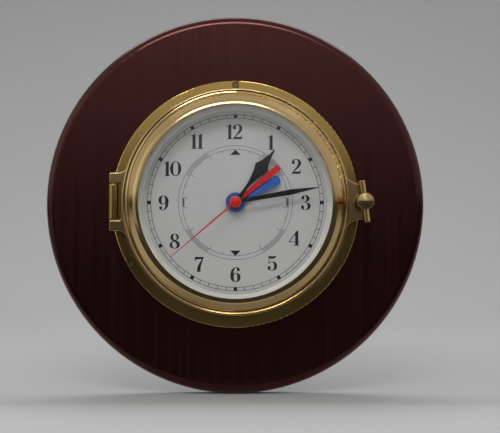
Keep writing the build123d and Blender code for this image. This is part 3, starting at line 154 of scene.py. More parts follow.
def mottle_group():
    """Soft and fine mottling, as metal and paint show it up close."""
    inputs = [("Scale", 40.0), ("Fine Scale", 900.0)]
    group, given, made = effect_group("mottle", inputs, ["Soft", "Fine"])
    place = group.nodes.new("ShaderNodeTexCoord")
    for label, scale, detail in (("Soft", "Scale", 4.0), ("Fine", "Fine Scale", 2.0)):
        noise = group.nodes.new("ShaderNodeTexNoise")
        noise.inputs["Detail"].default_value = detail
        group.links.new(place.outputs["Object"], noise.inputs["Vector"])
        group.links.new(given.outputs[scale], noise.inputs["Scale"])
        mask = spread(group, noise.outputs["Fac"], low=0.0, high=1.0, from_low=0.3, from_high=0.7)
        group.links.new(mask, made.inputs[label])
    return group


mottle = mottle_group()
bump_depth = 0.0001


def mottled_finish(name, dark, light, rough, scale, fine, metallic=0.0, bump=0.03, gloss=0.5):
    """A finish whose colour and roughness drift over the surface."""
    material, tree, shader = finish(name)
    marks = tree.nodes.new("ShaderNodeGroup")
    marks.node_tree = mottle
    marks.inputs["Scale"].default_value = scale
    marks.inputs["Fine Scale"].default_value = fine
    tree.links.new(blend(tree, marks.outputs["Soft"], dark, light), shader.inputs["Base Color"])
    tree.links.new(spread(tree, marks.outputs["Fine"], *rough), shader.inputs["Roughness"])
    raise_bump(tree, marks.outputs["Fine"], shader, bump, bump_depth)
    shader.inputs["Metallic"].default_value = metallic
    shader.inputs["Specular IOR Level"].default_value = gloss
    return material


zinc_plate = mottled_finish(
    "zinc_plate", dark=(0.42, 0.43, 0.44), light=(0.56, 0.57, 0.57), rough=(0.26, 0.40),
    scale=60.0, fine=1200.0, metallic=1.0,
)
dress(zinc_plate, "hanger_plate", "hanger_screws")


# Movement housing: a front plate and a rear cover moulded in black plastic, held by four small screws.
# The moulding has a fine spark-eroded texture that scatters the light.
moulded_black = mottled_finish(
    "moulded_black", dark=(0.012, 0.012, 0.013), light=(0.020, 0.020, 0.021), rough=(0.46, 0.62),
    scale=30.0, fine=2600.0,
)
dress(moulded_black, "rear_cover", "front_plate", "setting_knob")
dress(zinc_plate, "housing_screws")


# Train: acetal wheels on the bridge and the middle plate, with their pivots moulded in.
# They are natural white, a little yellowed, and slightly waxy.
acetal = mottled_finish(
    "acetal_white", dark=(0.60, 0.57, 0.50), light=(0.70, 0.68, 0.62), rough=(0.34, 0.46),
    scale=70.0, fine=1500.0,
)
dress(acetal, "minute_pinion", "minute_wheel", "hour_wheel", "tide_idler", "tide_wheel")
dress(acetal, "second_wheel", "third_wheel", "rotor", "middle_plate", "train_bridge")


# Motor and circuit: a nickel-iron stator, a coil of enamelled copper wire, and a small green board
# with the can of the quartz crystal. Two nickel-plated springs take the current from the cell.
nickel = mottled_finish(
    "nickel_plate", dark=(0.50, 0.48, 0.45), light=(0.62, 0.60, 0.56), rough=(0.22, 0.36),
    scale=80.0, fine=1400.0, metallic=1.0,
)
dress(nickel, "stator", "crystal", "battery_contacts")
dark_copper = (0.34, 0.11, 0.035)
bright_copper = (0.62, 0.24, 0.085)
wire_groove = 0.00005
enamelled_wire, tree, shader = finish("enamelled_wire")
turns = stretched_noise(tree, stretch=(0.05, 0.05, 1.0), scale=9000.0, detail=1.0)
tree.links.new(blend(tree, turns, dark_copper, bright_copper), shader.inputs["Base Color"])
tree.links.new(spread(tree, turns, low=0.24, high=0.42), shader.inputs["Roughness"])
raise_bump(tree, turns, shader, strength=0.3, distance=wire_groove)
shader.inputs["Metallic"].default_value = 1.0
dress(enamelled_wire, "coil")
solder_mask = mottled_finish(
    "solder_mask", dark=(0.010, 0.075, 0.030), light=(0.016, 0.11, 0.045), rough=(0.28, 0.40),
    scale=90.0, fine=1600.0,
)
dress(solder_mask, "circuit_board")


# Battery: an AA cell in a plain two-tone sleeve, with bare steel at its plus end.
# It lies across the bottom of the rear cover and slides in from behind.
sleeve_black = (0.014, 0.014, 0.016)
sleeve_rubbed = (0.026, 0.026, 0.028)
collar_gold = (0.50, 0.32, 0.12)
bare_steel = (0.55, 0.55, 0.54)
cell_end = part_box("battery")[1].x
collar_length = 0.0130
cap_length = 0.0025
band_blur = 0.0001
cell_sleeve, tree, shader = finish("cell_sleeve")
place = tree.nodes.new("ShaderNodeTexCoord")
along = tree.nodes.new("ShaderNodeSeparateXYZ")
tree.links.new(place.outputs["Object"], along.inputs["Vector"])


def sleeve_band(tree, length):
    """Masks the last stretch of the cell, up to its plus end."""
    start = cell_end - length
    return spread(
        tree, along.outputs["X"], low=0.0, high=1.0, from_low=start - band_blur, from_high=start + band_blur,
    )


collar = sleeve_band(tree, collar_length)
cap = sleeve_band(tree, cap_length)
rub = stretched_noise(tree, stretch=(0.2, 1.0, 1.0), scale=420.0, detail=3.0)
wrap = blend(tree, rub, sleeve_black, sleeve_rubbed)
banded = blend(tree, collar, wrap, collar_gold)
tree.links.new(blend(tree, cap, banded, bare_steel), shader.inputs["Base Color"])
tree.links.new(spread(tree, rub, low=0.22, high=0.38), shader.inputs["Roughness"])
tree.links.new(collar, shader.inputs["Metallic"])
dress(cell_sleeve, "battery")


# Case: a brass shell turned from a casting, its cove run out into the flange, then polished and lacquered.
# The hinge knuckle and the latch boss are brazed on; three brass wood screws hold the flange.
def turning_group():
    """Rings left by the lathe, about the clock's axis, and soft tarnish under the lacquer."""
    inputs = [("Pitch", 2600.0), ("Tarnish Scale", 26.0)]
    group, given, made = effect_group("turning", inputs, ["Rings", "Tarnish"])
    place = group.nodes.new("ShaderNodeTexCoord")
    axes = group.nodes.new("ShaderNodeSeparateXYZ")
    group.links.new(place.outputs["Object"], axes.inputs["Vector"])
    flat = group.nodes.new("ShaderNodeCombineXYZ")
    group.links.new(axes.outputs["X"], flat.inputs["X"])
    group.links.new(axes.outputs["Z"], flat.inputs["Y"])
    reach = group.nodes.new("ShaderNodeVectorMath")
    reach.operation = "LENGTH"
    group.links.new(flat.outputs["Vector"], reach.inputs[0])
    coil = group.nodes.new("ShaderNodeMath")
    coil.operation = "SUBTRACT"
    group.links.new(reach.outputs["Value"], coil.inputs[0])
    group.links.new(axes.outputs["Y"], coil.inputs[1])
    rings = group.nodes.new("ShaderNodeTexNoise")
    rings.noise_dimensions = "1D"
    rings.inputs["Detail"].default_value = 2.0
    group.links.new(coil.outputs["Value"], rings.inputs["W"])
    group.links.new(given.outputs["Pitch"], rings.inputs["Scale"])
    group.links.new(rings.outputs["Fac"], made.inputs["Rings"])
    tarnish = group.nodes.new("ShaderNodeTexNoise")
    tarnish.inputs["Detail"].default_value = 5.0
    group.links.new(place.outputs["Object"], tarnish.inputs["Vector"])
    group.links.new(given.outputs["Tarnish Scale"], tarnish.inputs["Scale"])
    mask = spread(group, tarnish.outputs["Fac"], low=0.0, high=1.0, from_low=0.35, from_high=0.75)
    group.links.new(mask, made.inputs["Tarnish"])
    return group


turning = turning_group()


def turned_brass(name, dull, bright, rough, bump):
    """Brass with lathe rings and a little tarnish."""
    material, tree, shader = finish(name)
    marks = tree.nodes.new("ShaderNodeGroup")
    marks.node_tree = turning
    tree.links.new(blend(tree, marks.outputs["Tarnish"], bright, dull), shader.inputs["Base Color"])
    tree.links.new(spread(tree, marks.outputs["Rings"], *rough), shader.inputs["Roughness"])
    raise_bump(tree, marks.outputs["Rings"], shader, bump, bump_depth)
    shader.inputs["Metallic"].default_value = 1.0
    return material


case_brass = turned_brass(
    "case_brass", dull=(0.56, 0.355, 0.108), bright=(0.68, 0.45, 0.15), rough=(0.10, 0.18), bump=0.03,
)
dress(case_brass, "case", "hinge_pin")
# The screws' brass is painted far darker than the case's: painted shade for the pockets the screw heads sit
# in.
screw_brass = mottled_finish(
    "screw_brass", dark=(0.17, 0.12, 0.06), light=(0.26, 0.19, 0.095), rough=(0.30, 0.44),
    scale=300.0, fine=3000.0, metallic=1.0,
)
dress(screw_brass, "flange_screws", "dial_screws")


# Dial: a thin aluminium disc sprayed in a pale satin grey-white, then screen printed.
# The print has a railway minute track with square hour blocks, and an inner ring for the tide.
dial_paint = mottled_finish(
    "dial_paint", dark=(0.352, 0.356, 0.352), light=(0.378, 0.382, 0.378), rough=(0.48, 0.58),
    scale=18.0, fine=2200.0, bump=0.02,
)
dress(dial_paint, "dial")
printed_ink = mottled_finish(
    "printed_ink", dark=(0.0050, 0.0050, 0.0056), light=(0.0090, 0.0090, 0.0098), rough=(0.50, 0.62),
    scale=120.0, fine=2600.0, gloss=0.25,
)
faint_ink = mottled_finish(
    "faint_ink", dark=(0.036, 0.038, 0.040), light=(0.052, 0.054, 0.057), rough=(0.40, 0.55),
    scale=120.0, fine=2600.0,
)
dial_face = -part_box("dial")[0].y
ink_height = 0.00006
circle_steps = 192
track_inner_r = 0.0610
track_outer_r = 0.0635
track_line = 0.00034
minute_line = 0.00040
minute_angle = 6.0
hour_angle = 30.0
hour_block_width = 0.0026
hour_block_overlap = 0.0001


def set_in_place(piece, name, material, body):
    """Ends a new piece: its place goes into its mesh, and it rides on a body."""
    bpy.ops.object.select_all(action="DESELECT")
    piece.select_set(True)
    bpy.context.view_layer.objects.active = piece
    bpy.ops.object.transform_apply(location=True, rotation=True, scale=True)
    bpy.ops.object.mode_set(mode="EDIT")
    bpy.ops.mesh.select_all(action="SELECT")
    bpy.ops.mesh.normals_make_consistent(inside=False)
    bpy.ops.object.mode_set(mode="OBJECT")
    piece.name = name
    piece.data.name = name
    piece.data.materials.clear()
    piece.data.materials.append(material)
    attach(piece, body)


def printed_circle(name, radius, width, material):
    """A printed circle: a disc with its middle inset away, raised by the ink's height."""
    bpy.ops.object.select_all(action="DESELECT")
    bpy.ops.mesh.primitive_circle_add(
        vertices=circle_steps, radius=radius + width / 2, fill_type="NGON",
        location=(0, -dial_face, 0), rotation=(math.pi / 2, 0, 0),
    )
    bpy.ops.object.mode_set(mode="EDIT")
    bpy.ops.mesh.select_all(action="SELECT")
    bpy.ops.mesh.inset(thickness=width)
    bpy.ops.mesh.delete(type="FACE")
    bpy.ops.mesh.select_all(action="SELECT")
    bpy.ops.mesh.extrude_region_move(TRANSFORM_OT_translate={"value": (0, -ink_height, 0)})
    bpy.ops.object.mode_set(mode="OBJECT")
    set_in_place(bpy.context.object, name, material, "case_body")


def printed_marks(name, inner_r, outer_r, width, material, first_angle, step_angle=0.0, count=1):
    """One printed bar, then copies of it turned round the dial in even steps."""
    turn = math.radians(first_angle)
    middle = (inner_r + outer_r) / 2
    bpy.ops.object.select_all(action="DESELECT")
    bpy.ops.mesh.primitive_plane_add(size=1.0)
    bar = bpy.context.object
    bpy.ops.object.mode_set(mode="EDIT")
    bpy.ops.mesh.select_all(action="SELECT")
    bpy.ops.transform.resize(value=(width, outer_r - inner_r, 1.0))
    bpy.ops.mesh.extrude_region_move(TRANSFORM_OT_translate={"value": (0, 0, ink_height)})
    bpy.ops.object.mode_set(mode="OBJECT")
    bar.rotation_euler = (math.pi / 2, turn, 0)
    bar.location = (middle * math.sin(turn), -dial_face, middle * math.cos(turn))
    bpy.ops.object.transform_apply(location=True, rotation=True, scale=True)
    if count > 1:
        bpy.ops.object.mode_set(mode="EDIT")
        bpy.ops.mesh.select_all(action="SELECT")
        bpy.ops.mesh.spin(
            steps=count - 1, dupli=True, angle=math.radians(step_angle * (count - 1)),
            center=(0, 0, 0), axis=(0, -1, 0),
        )
        bpy.ops.object.mode_set(mode="OBJECT")
    set_in_place(bar, name, material, "case_body")


printed_circle("track_outer_circle", track_outer_r, track_line, printed_ink)
printed_circle("track_inner_circle", track_inner_r, track_line, printed_ink)
printed_marks(
    "minute_marks", track_inner_r, track_outer_r, minute_line, printed_ink,
    first_angle=minute_angle, step_angle=minute_angle, count=59,
)
printed_marks(
    "hour_blocks", track_inner_r - hour_block_overlap, track_outer_r + hour_block_overlap, hour_block_width,
    printed_ink, first_angle=0.0, step_angle=hour_angle, count=12,
)


# Numerals: upright figures 1 to 12 in a bold face with fat stems and hairlines, screen printed in black.
# Each figure is drawn by outlines in shares of its height; c marks a corner and s a smooth point.
figure_shares = {
    "0": [
        [("s", 0.38, 1.0), ("s", 0.76, 0.5), ("s", 0.38, 0.0), ("s", 0.0, 0.5)],
        [("s", 0.38, 0.955), ("s", 0.22, 0.5), ("s", 0.38, 0.045), ("s", 0.54, 0.5)],
    ],
    "1": [[
        ("c", 0.05, 0.0), ("c", 0.43, 0.0), ("c", 0.43, 0.035), ("c", 0.35, 0.05), ("c", 0.35, 1.0),
        ("c", 0.26, 1.0), ("s", 0.17, 0.93), ("c", 0.03, 0.895), ("c", 0.03, 0.855), ("c", 0.14, 0.865),
        ("c", 0.14, 0.05), ("c", 0.05, 0.035),
    ]],
    "2": [[
        ("c", 0.03, 0.0), ("c", 0.61, 0.0), ("c", 0.66, 0.27), ("c", 0.625, 0.27), ("s", 0.555, 0.165),
        ("s", 0.40, 0.15), ("c", 0.20, 0.165), ("s", 0.36, 0.31), ("s", 0.58, 0.51), ("s", 0.665, 0.735),
        ("s", 0.56, 0.935), ("s", 0.33, 1.0), ("s", 0.12, 0.935), ("s", 0.03, 0.77), ("s", 0.06, 0.69),
        ("s", 0.145, 0.655), ("s", 0.25, 0.745), ("s", 0.205, 0.845), ("s", 0.225, 0.915), ("s", 0.32, 0.955),
        ("s", 0.425, 0.90), ("s", 0.455, 0.735), ("s", 0.385, 0.52), ("s", 0.20, 0.27), ("c", 0.03, 0.04),
    ]],
    "3": [[
        ("c", 0.20, 0.545), ("s", 0.32, 0.565), ("s", 0.39, 0.76), ("s", 0.305, 0.96), ("s", 0.225, 0.925),
        ("s", 0.25, 0.845), ("s", 0.235, 0.76), ("s", 0.14, 0.72), ("s", 0.045, 0.81), ("s", 0.12, 0.94),
        ("s", 0.315, 1.0), ("s", 0.52, 0.94), ("s", 0.595, 0.77), ("s", 0.52, 0.60), ("s", 0.40, 0.535),
        ("s", 0.59, 0.45), ("s", 0.67, 0.27), ("s", 0.575, 0.065), ("s", 0.315, 0.0), ("s", 0.10, 0.06),
        ("s", 0.02, 0.20), ("s", 0.055, 0.285), ("s", 0.14, 0.315), ("s", 0.245, 0.215), ("s", 0.205, 0.115),
        ("s", 0.23, 0.06), ("s", 0.315, 0.038), ("s", 0.425, 0.09), ("s", 0.455, 0.27), ("s", 0.42, 0.45),
        ("s", 0.305, 0.51), ("c", 0.20, 0.51),
    ]],
    "4": [
        [("c", 0.31, 0.0), ("c", 0.72, 0.0), ("c", 0.72, 0.035), ("c", 0.625, 0.045), ("c", 0.625, 0.23),
         ("c", 0.74, 0.23), ("c", 0.74, 0.275), ("c", 0.625, 0.275), ("c", 0.625, 1.0), ("c", 0.52, 1.0),
         ("c", 0.0, 0.29), ("c", 0.0, 0.23), ("c", 0.415, 0.23), ("c", 0.415, 0.045), ("c", 0.31, 0.035)],
        [("c", 0.06, 0.275), ("c", 0.415, 0.275), ("c", 0.415, 0.77)],
    ],
    "5": [[
        ("c", 0.09, 1.0), ("c", 0.09, 0.47), ("c", 0.135, 0.47), ("s", 0.225, 0.555), ("s", 0.33, 0.575),
        ("s", 0.43, 0.50), ("s", 0.46, 0.32), ("s", 0.42, 0.10), ("s", 0.30, 0.038), ("s", 0.22, 0.06),
        ("s", 0.205, 0.12), ("s", 0.24, 0.215), ("s", 0.14, 0.305), ("s", 0.055, 0.275), ("s", 0.02, 0.20),
        ("s", 0.10, 0.06), ("s", 0.30, 0.0), ("s", 0.57, 0.08), ("s", 0.67, 0.32), ("s", 0.58, 0.54),
        ("s", 0.36, 0.625), ("s", 0.21, 0.59), ("c", 0.135, 0.55), ("c", 0.135, 0.83), ("s", 0.33, 0.80),
        ("c", 0.58, 0.87), ("c", 0.60, 1.0), ("s", 0.34, 0.965),
    ]],
    "6": [
        [("s", 0.36, 0.0), ("s", 0.61, 0.09), ("s", 0.69, 0.31), ("s", 0.61, 0.53), ("s", 0.40, 0.61),
         ("s", 0.28, 0.585), ("c", 0.225, 0.55), ("s", 0.255, 0.80), ("s", 0.40, 0.962), ("s", 0.47, 0.935),
         ("s", 0.445, 0.85), ("s", 0.46, 0.765), ("s", 0.545, 0.72), ("s", 0.64, 0.81), ("s", 0.58, 0.935),
         ("s", 0.40, 1.0), ("s", 0.14, 0.86), ("s", 0.01, 0.47), ("s", 0.10, 0.11)],
        [("s", 0.36, 0.04), ("s", 0.235, 0.31), ("s", 0.36, 0.57), ("s", 0.475, 0.31)],
    ],
    "7": [[
        ("c", 0.05, 1.0), ("c", 0.05, 0.71), ("c", 0.085, 0.71), ("s", 0.135, 0.815), ("s", 0.26, 0.84),
        ("c", 0.53, 0.835), ("s", 0.35, 0.56), ("s", 0.22, 0.24), ("c", 0.205, 0.0), ("c", 0.44, 0.0),
        ("s", 0.45, 0.30), ("s", 0.54, 0.64), ("c", 0.65, 0.95), ("c", 0.65, 1.0),
    ]],
    "8": [
        [("s", 0.34, 1.0), ("s", 0.55, 0.94), ("s", 0.62, 0.77), ("s", 0.55, 0.62), ("s", 0.47, 0.555),
         ("s", 0.61, 0.46), ("s", 0.68, 0.27), ("s", 0.58, 0.06), ("s", 0.34, 0.0), ("s", 0.09, 0.06),
         ("s", 0.0, 0.25), ("s", 0.09, 0.43), ("s", 0.20, 0.50), ("s", 0.11, 0.60), ("s", 0.055, 0.75),
         ("s", 0.13, 0.94)],
        [("s", 0.34, 0.96), ("s", 0.235, 0.80), ("s", 0.40, 0.585), ("s", 0.465, 0.77)],
        [("s", 0.33, 0.04), ("s", 0.175, 0.25), ("s", 0.265, 0.46), ("s", 0.48, 0.22)],
    ],
}
figure_width_shares = {
    "0": 0.76, "1": 0.38, "2": 0.68, "3": 0.68, "4": 0.74,
    "5": 0.69, "6": 0.70, "7": 0.67, "8": 0.68, "9": 0.70,
}
figure_shares["9"] = [
    [(kind, figure_width_shares["9"] - across, 1.0 - up) for kind, across, up in outline]
    for outline in figure_shares["6"]
]
figure_gap_share = 0.05
numeral_height = 0.0107
curve_steps = 5
# Centres of the numerals 1 to 12, across and up from the dial's centre
numeral_places = [
    (0.0251, 0.0434), (0.0439, 0.0261), (0.0506, 0.0000),
    (0.0425, -0.0257), (0.0265, -0.0437), (0.0000, -0.0518),
    (-0.0262, -0.0445), (-0.0437, -0.0278), (-0.0518, -0.0003),
    (-0.0454, 0.0244), (-0.0282, 0.0441), (-0.0008, 0.0511),
]


def printed_figures(name, label, centre_x, centre_z):
    """A printed number: filled outlines of its figures, side by side about a centre."""
    width = sum(figure_width_shares[digit] for digit in label) + figure_gap_share * (len(label) - 1)
    curve = bpy.data.curves.new(name, "CURVE")
    curve.dimensions = "2D"
    curve.fill_mode = "BOTH"
    curve.resolution_u = curve_steps
    curve.extrude = ink_height / numeral_height
    start = -width / 2
    for digit in label:
        for outline in figure_shares[digit]:
            spline = curve.splines.new("BEZIER")
            spline.bezier_points.add(len(outline) - 1)
            spline.use_cyclic_u = True
            for point, (kind, across, up) in zip(spline.bezier_points, outline):
                point.co = (start + across, up - 0.5, 0.0)
                point.handle_left_type = "VECTOR" if kind == "c" else "AUTO"
                point.handle_right_type = "VECTOR" if kind == "c" else "AUTO"
        start += figure_width_shares[digit] + figure_gap_share
    printed = bpy.data.objects.new(name, curve)
    bpy.context.scene.collection.objects.link(printed)
    bpy.ops.object.select_all(action="DESELECT")
    printed.select_set(True)
    bpy.context.view_layer.objects.active = printed
    bpy.ops.object.convert(target="MESH")
    printed = bpy.context.object
    printed.scale = (numeral_height, numeral_height, numeral_height)
    printed.rotation_euler = (math.pi / 2, 0, 0)
    printed.location = (centre_x, -dial_face, centre_z)
    set_in_place(printed, name, printed_ink, "case_body")


for hour, (across, up) in enumerate(numeral_places, start=1):
    printed_figures("numeral_%02d" % hour, str(hour), across, up)


# Tide scale: two fine circles with hour strokes, a solid arrow at the top and at the bottom,
# brackets at both sides, and close graduations where the tide runs fastest.
tide_inner_r = 0.0383
tide_outer_r = 0.0411
fine_line = 0.00030
close_mark_inner_r = 0.0387
close_mark_outer_r = 0.0408
close_mark_angle = 1.25
tide_hour_angle = 29.0
tide_hour_line = 0.00036
tide_hour_length = 0.0033
tide_half_length = 0.0015
# Each quarter's name, and the angles at which its strokes and its close graduations start
tide_quarters = [
    ("upper_right", 0.0, 30.0),
    ("lower_right", 93.0, 120.0),
    ("lower_left", 180.0, 210.0),
    ("upper_left", 273.0, 300.0),
]
printed_circle("tide_outer_circle", tide_outer_r, fine_line, faint_ink)
printed_circle("tide_inner_circle", tide_inner_r, fine_line, faint_ink)
for quarter, scale_start, close_start in tide_quarters:
    printed_marks(
        "tide_close_marks_" + quarter, close_mark_inner_r, close_mark_outer_r, fine_line, faint_ink,
        first_angle=close_start, step_angle=close_mark_angle, count=25,
    )
    printed_marks(
        "tide_hour_marks_" + quarter, tide_inner_r - tide_hour_length, tide_inner_r, tide_hour_line,
        faint_ink, first_angle=scale_start + tide_hour_angle, step_angle=tide_hour_angle, count=2,
    )
    printed_marks(
        "tide_half_marks_" + quarter, tide_inner_r - tide_half_length, tide_inner_r, fine_line, faint_ink,
        first_angle=scale_start + tide_hour_angle / 2, step_angle=tide_hour_angle, count=3,
    )
arrow_width = 0.0077
high_arrow_tip = 0.0381
high_arrow_base = 0.0344
low_arrow_tip = -0.0384
low_arrow_base = -0.0346
bracket_inner_r = 0.0346
bracket_outer_r = 0.0372
bracket_line = 0.00032
bracket_lean = 5.9
bar_inner_r = 0.0368
bar_outer_r = 0.0377
bar_length = 0.0064


def printed_arrow(name, tip_z, base_z):
    """A solid printed triangle: a three-sided disc stood on its base and drawn to its size."""
    bpy.ops.object.select_all(action="DESELECT")
    bpy.ops.mesh.primitive_circle_add(vertices=3, radius=1.0, fill_type="NGON")
    arrow = bpy.context.object
    heights = [vertex.co.y for vertex in arrow.data.vertices]
    spans = [vertex.co.x for vertex in arrow.data.vertices]
    width_scale = arrow_width / (max(spans) - min(spans))
    height_scale = (tip_z - base_z) / (max(heights) - min(heights))
    bpy.ops.object.mode_set(mode="EDIT")
    bpy.ops.mesh.select_all(action="SELECT")
    bpy.ops.transform.translate(value=(0, -min(heights), 0))
    bpy.ops.transform.resize(value=(width_scale, height_scale, 1.0), center_override=(0, 0, 0))
    bpy.ops.mesh.extrude_region_move(TRANSFORM_OT_translate={"value": (0, 0, ink_height)})
    bpy.ops.object.mode_set(mode="OBJECT")
    arrow.rotation_euler = (math.pi / 2, 0, 0)
    arrow.location = (0, -dial_face, base_z)
    set_in_place(arrow, name, printed_ink, "case_body")


printed_arrow("high_water_arrow", high_arrow_tip, high_arrow_base)
printed_arrow("low_water_arrow", low_arrow_tip, low_arrow_base)
for side, side_angle in (("right", 90.0), ("left", 270.0)):
    printed_marks(
        "half_tide_bar_" + side, bar_inner_r, bar_outer_r, bar_length, printed_ink, first_angle=side_angle,
    )
    for end, lean in (("early", -bracket_lean), ("late", bracket_lean)):
        printed_marks(
            "half_tide_arm_" + side + "_" + end, bracket_inner_r, bracket_outer_r, bracket_line, printed_ink,
            first_angle=side_angle + lean,
        )


# Dial ring: an aluminium ring pressed over the dial's margin, painted a paler white, and held by three
# small screws. The nut and rubber washer of the movement hide under the hands.
ring_paint = mottled_finish(
    "ring_paint", dark=(0.59, 0.59, 0.55), light=(0.625, 0.625, 0.585), rough=(0.44, 0.54),
    scale=22.0, fine=1800.0,
)
dress(ring_paint, "dial_ring")
# The nut takes the same brass, painted dark as painted shade.
dress(screw_brass, "dial_nut")
rubber_black = mottled_finish(
    "rubber_black", dark=(0.013, 0.013, 0.013), light=(0.022, 0.022, 0.021), rough=(0.62, 0.78),
    scale=60.0, fine=2400.0,
)
dress(rubber_black, "dial_washer", "glass_gasket")


# Hands: pressed from thin aluminium and sprayed, the tide hand blue, the marker and second hands red,
# the hour and minute hands matt black. A bright plated nut holds the minute hand.
blue_paint = mottled_finish(
    "blue_paint", dark=(0.024, 0.074, 0.275), light=(0.031, 0.090, 0.315), rough=(0.36, 0.48),
    scale=120.0, fine=2600.0, gloss=0.25,
)
red_paint = mottled_finish(
    "red_paint", dark=(0.37, 0.006, 0.008), light=(0.45, 0.009, 0.011), rough=(0.32, 0.44),
    scale=120.0, fine=2600.0, gloss=0.25,
)
black_paint = mottled_finish(
    "black_paint", dark=(0.0045, 0.0040, 0.0042), light=(0.0075, 0.0068, 0.0070), rough=(0.58, 0.70),
    scale=120.0, fine=2600.0, gloss=0.25,
)
polished_nut = mottled_finish(
    "polished_nut", dark=(0.74, 0.71, 0.66), light=(0.88, 0.86, 0.82), rough=(0.34, 0.44),
    scale=200.0, fine=3000.0, metallic=1.0,
)
dress(blue_paint, "tide_hand")
dress(red_paint, "marker_hand", "second_hand", "second_cap")
dress(black_paint, "hour_hand", "minute_hand")
dress(polished_nut, "minute_nut")


# Bezel: the hinged brass door, turned with a bead, a cove, a satin slope and a rounded shoulder.
# A threaded brass ring and a gasket hold its glass from behind, and the glass throws no shadow.
bezel_brass = turned_brass(
    "bezel_brass", dull=(0.53, 0.365, 0.160), bright=(0.66, 0.47, 0.220), rough=(0.11, 0.20), bump=0.04,
)
dress(bezel_brass, "bezel", "glass_ring")
window_glass, tree, shader = finish("window_glass")
shader.inputs["Base Color"].default_value = (0.985, 0.99, 0.985, 1.0)
shader.inputs["Transmission Weight"].default_value = 1.0
shader.inputs["IOR"].default_value = 1.45
wipe = stretched_noise(tree, stretch=(1.0, 1.0, 0.6), scale=30.0, detail=3.0)
tree.links.new(spread(tree, wipe, low=0.0, high=0.02), shader.inputs["Roughness"])
ray = tree.nodes.new("ShaderNodeLightPath")
clear = tree.nodes.new("ShaderNodeBsdfTransparent")
pass_light = tree.nodes.new("ShaderNodeMixShader")
surface = tree.nodes["Material Output"].inputs["Surface"]
tree.links.new(ray.outputs["Is Shadow Ray"], pass_light.inputs["Fac"])
tree.links.new(shader.outputs["BSDF"], pass_light.inputs[1])
tree.links.new(clear.outputs["BSDF"], pass_light.inputs[2])
tree.links.new(pass_light.outputs["Shader"], surface)
dress(window_glass, "glass")


# Latch: a captive brass screw, its knob faced with a low cone, turned by a cross bar through its neck.
# A plated spring clip behind the lug keeps it on the door.
latch_brass = mottled_finish(
    "latch_brass", dark=(0.50, 0.345, 0.15), light=(0.62, 0.45, 0.21), rough=(0.14, 0.24),
    scale=160.0, fine=2400.0, metallic=1.0,
)
dress(latch_brass, "latch_screw", "cross_bar")
dress(nickel, "latch_clip")
knob_low, knob_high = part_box("latch_screw")
knob_rim = 0.0006
knob_face_r = (knob_high.x - knob_low.x) / 2 - knob_rim
knob_seat = 0.0004
knob_rise = 0.0010
knob_tip_r = 0.0005
knob_point_r = knob_tip_r / 2
knob_point_rise = knob_rise / 20
knob_steps = 96
facing_up = 0.9
crease_angle = math.radians(30)
bpy.ops.object.select_all(action="DESELECT")
bpy.ops.mesh.primitive_cylinder_add(vertices=knob_steps, radius=knob_face_r, depth=knob_seat)
knob_face = bpy.context.object
bpy.ops.object.mode_set(mode="EDIT")
bpy.ops.mesh.select_mode(type="FACE")
bpy.ops.mesh.select_all(action="DESELECT")
bpy.ops.object.mode_set(mode="OBJECT")
for face in knob_face.data.polygons:
    face.select = face.normal.z > facing_up
bpy.ops.object.mode_set(mode="EDIT")
bpy.ops.mesh.inset(thickness=knob_face_r - knob_tip_r)
bpy.ops.transform.translate(value=(0, 0, knob_rise))
bpy.ops.mesh.inset(thickness=knob_tip_r - knob_point_r)
bpy.ops.transform.translate(value=(0, 0, knob_point_rise))
bpy.ops.object.mode_set(mode="OBJECT")
bpy.ops.object.shade_smooth_by_angle(angle=crease_angle)
knob_face.rotation_euler = (math.pi / 2, 0, 0)
knob_face.location = ((knob_low.x + knob_high.x) / 2, knob_low.y, (knob_low.z + knob_high.z) / 2)
set_in_place(knob_face, "latch_knob_face", latch_brass, "latch_knob")


# Studio: one pale sheet is the table and turns up behind the clock into the backdrop, in a wide sweep.
# Its front edge rounds off and drops to a dark floor, so that the brass reflects a dark room below.
floor_gap = 0.0004
floor_level = cad_box[0].z - floor_gap
table_width = 9.0
table_depth = 0.90
table_front = -0.105
table_edge_r = 0.040
backdrop_turn_r = 1.30
backdrop_rise = 3.0
room_drop = 1.15
room_width = 60.0


def run_on(sheet, edge_y, heading_y, heading_z, turn_r, rise):
    """Runs a sheet on from one of its long edges: round a quarter turn, then straight."""
    touch = 0.001
    turn_steps = 12
    turn_step = math.pi / 2 / turn_steps
    reach = 2 * turn_r * math.sin(turn_step / 2)
    bpy.ops.mesh.select_all(action="DESELECT")
    bpy.ops.object.mode_set(mode="OBJECT")
    for edge in sheet.data.edges:
        edge.select = all(abs(sheet.data.vertices[i].co.y - edge_y) < touch for i in edge.vertices)
    bpy.ops.object.mode_set(mode="EDIT")
    for step in range(turn_steps):
        tilt = (step + 0.5) * turn_step
        bpy.ops.mesh.extrude_region_move(TRANSFORM_OT_translate={
            "value": (0, heading_y * reach * math.cos(tilt), heading_z * reach * math.sin(tilt))
        })
    bpy.ops.mesh.extrude_region_move(TRANSFORM_OT_translate={"value": (0, 0, heading_z * rise)})


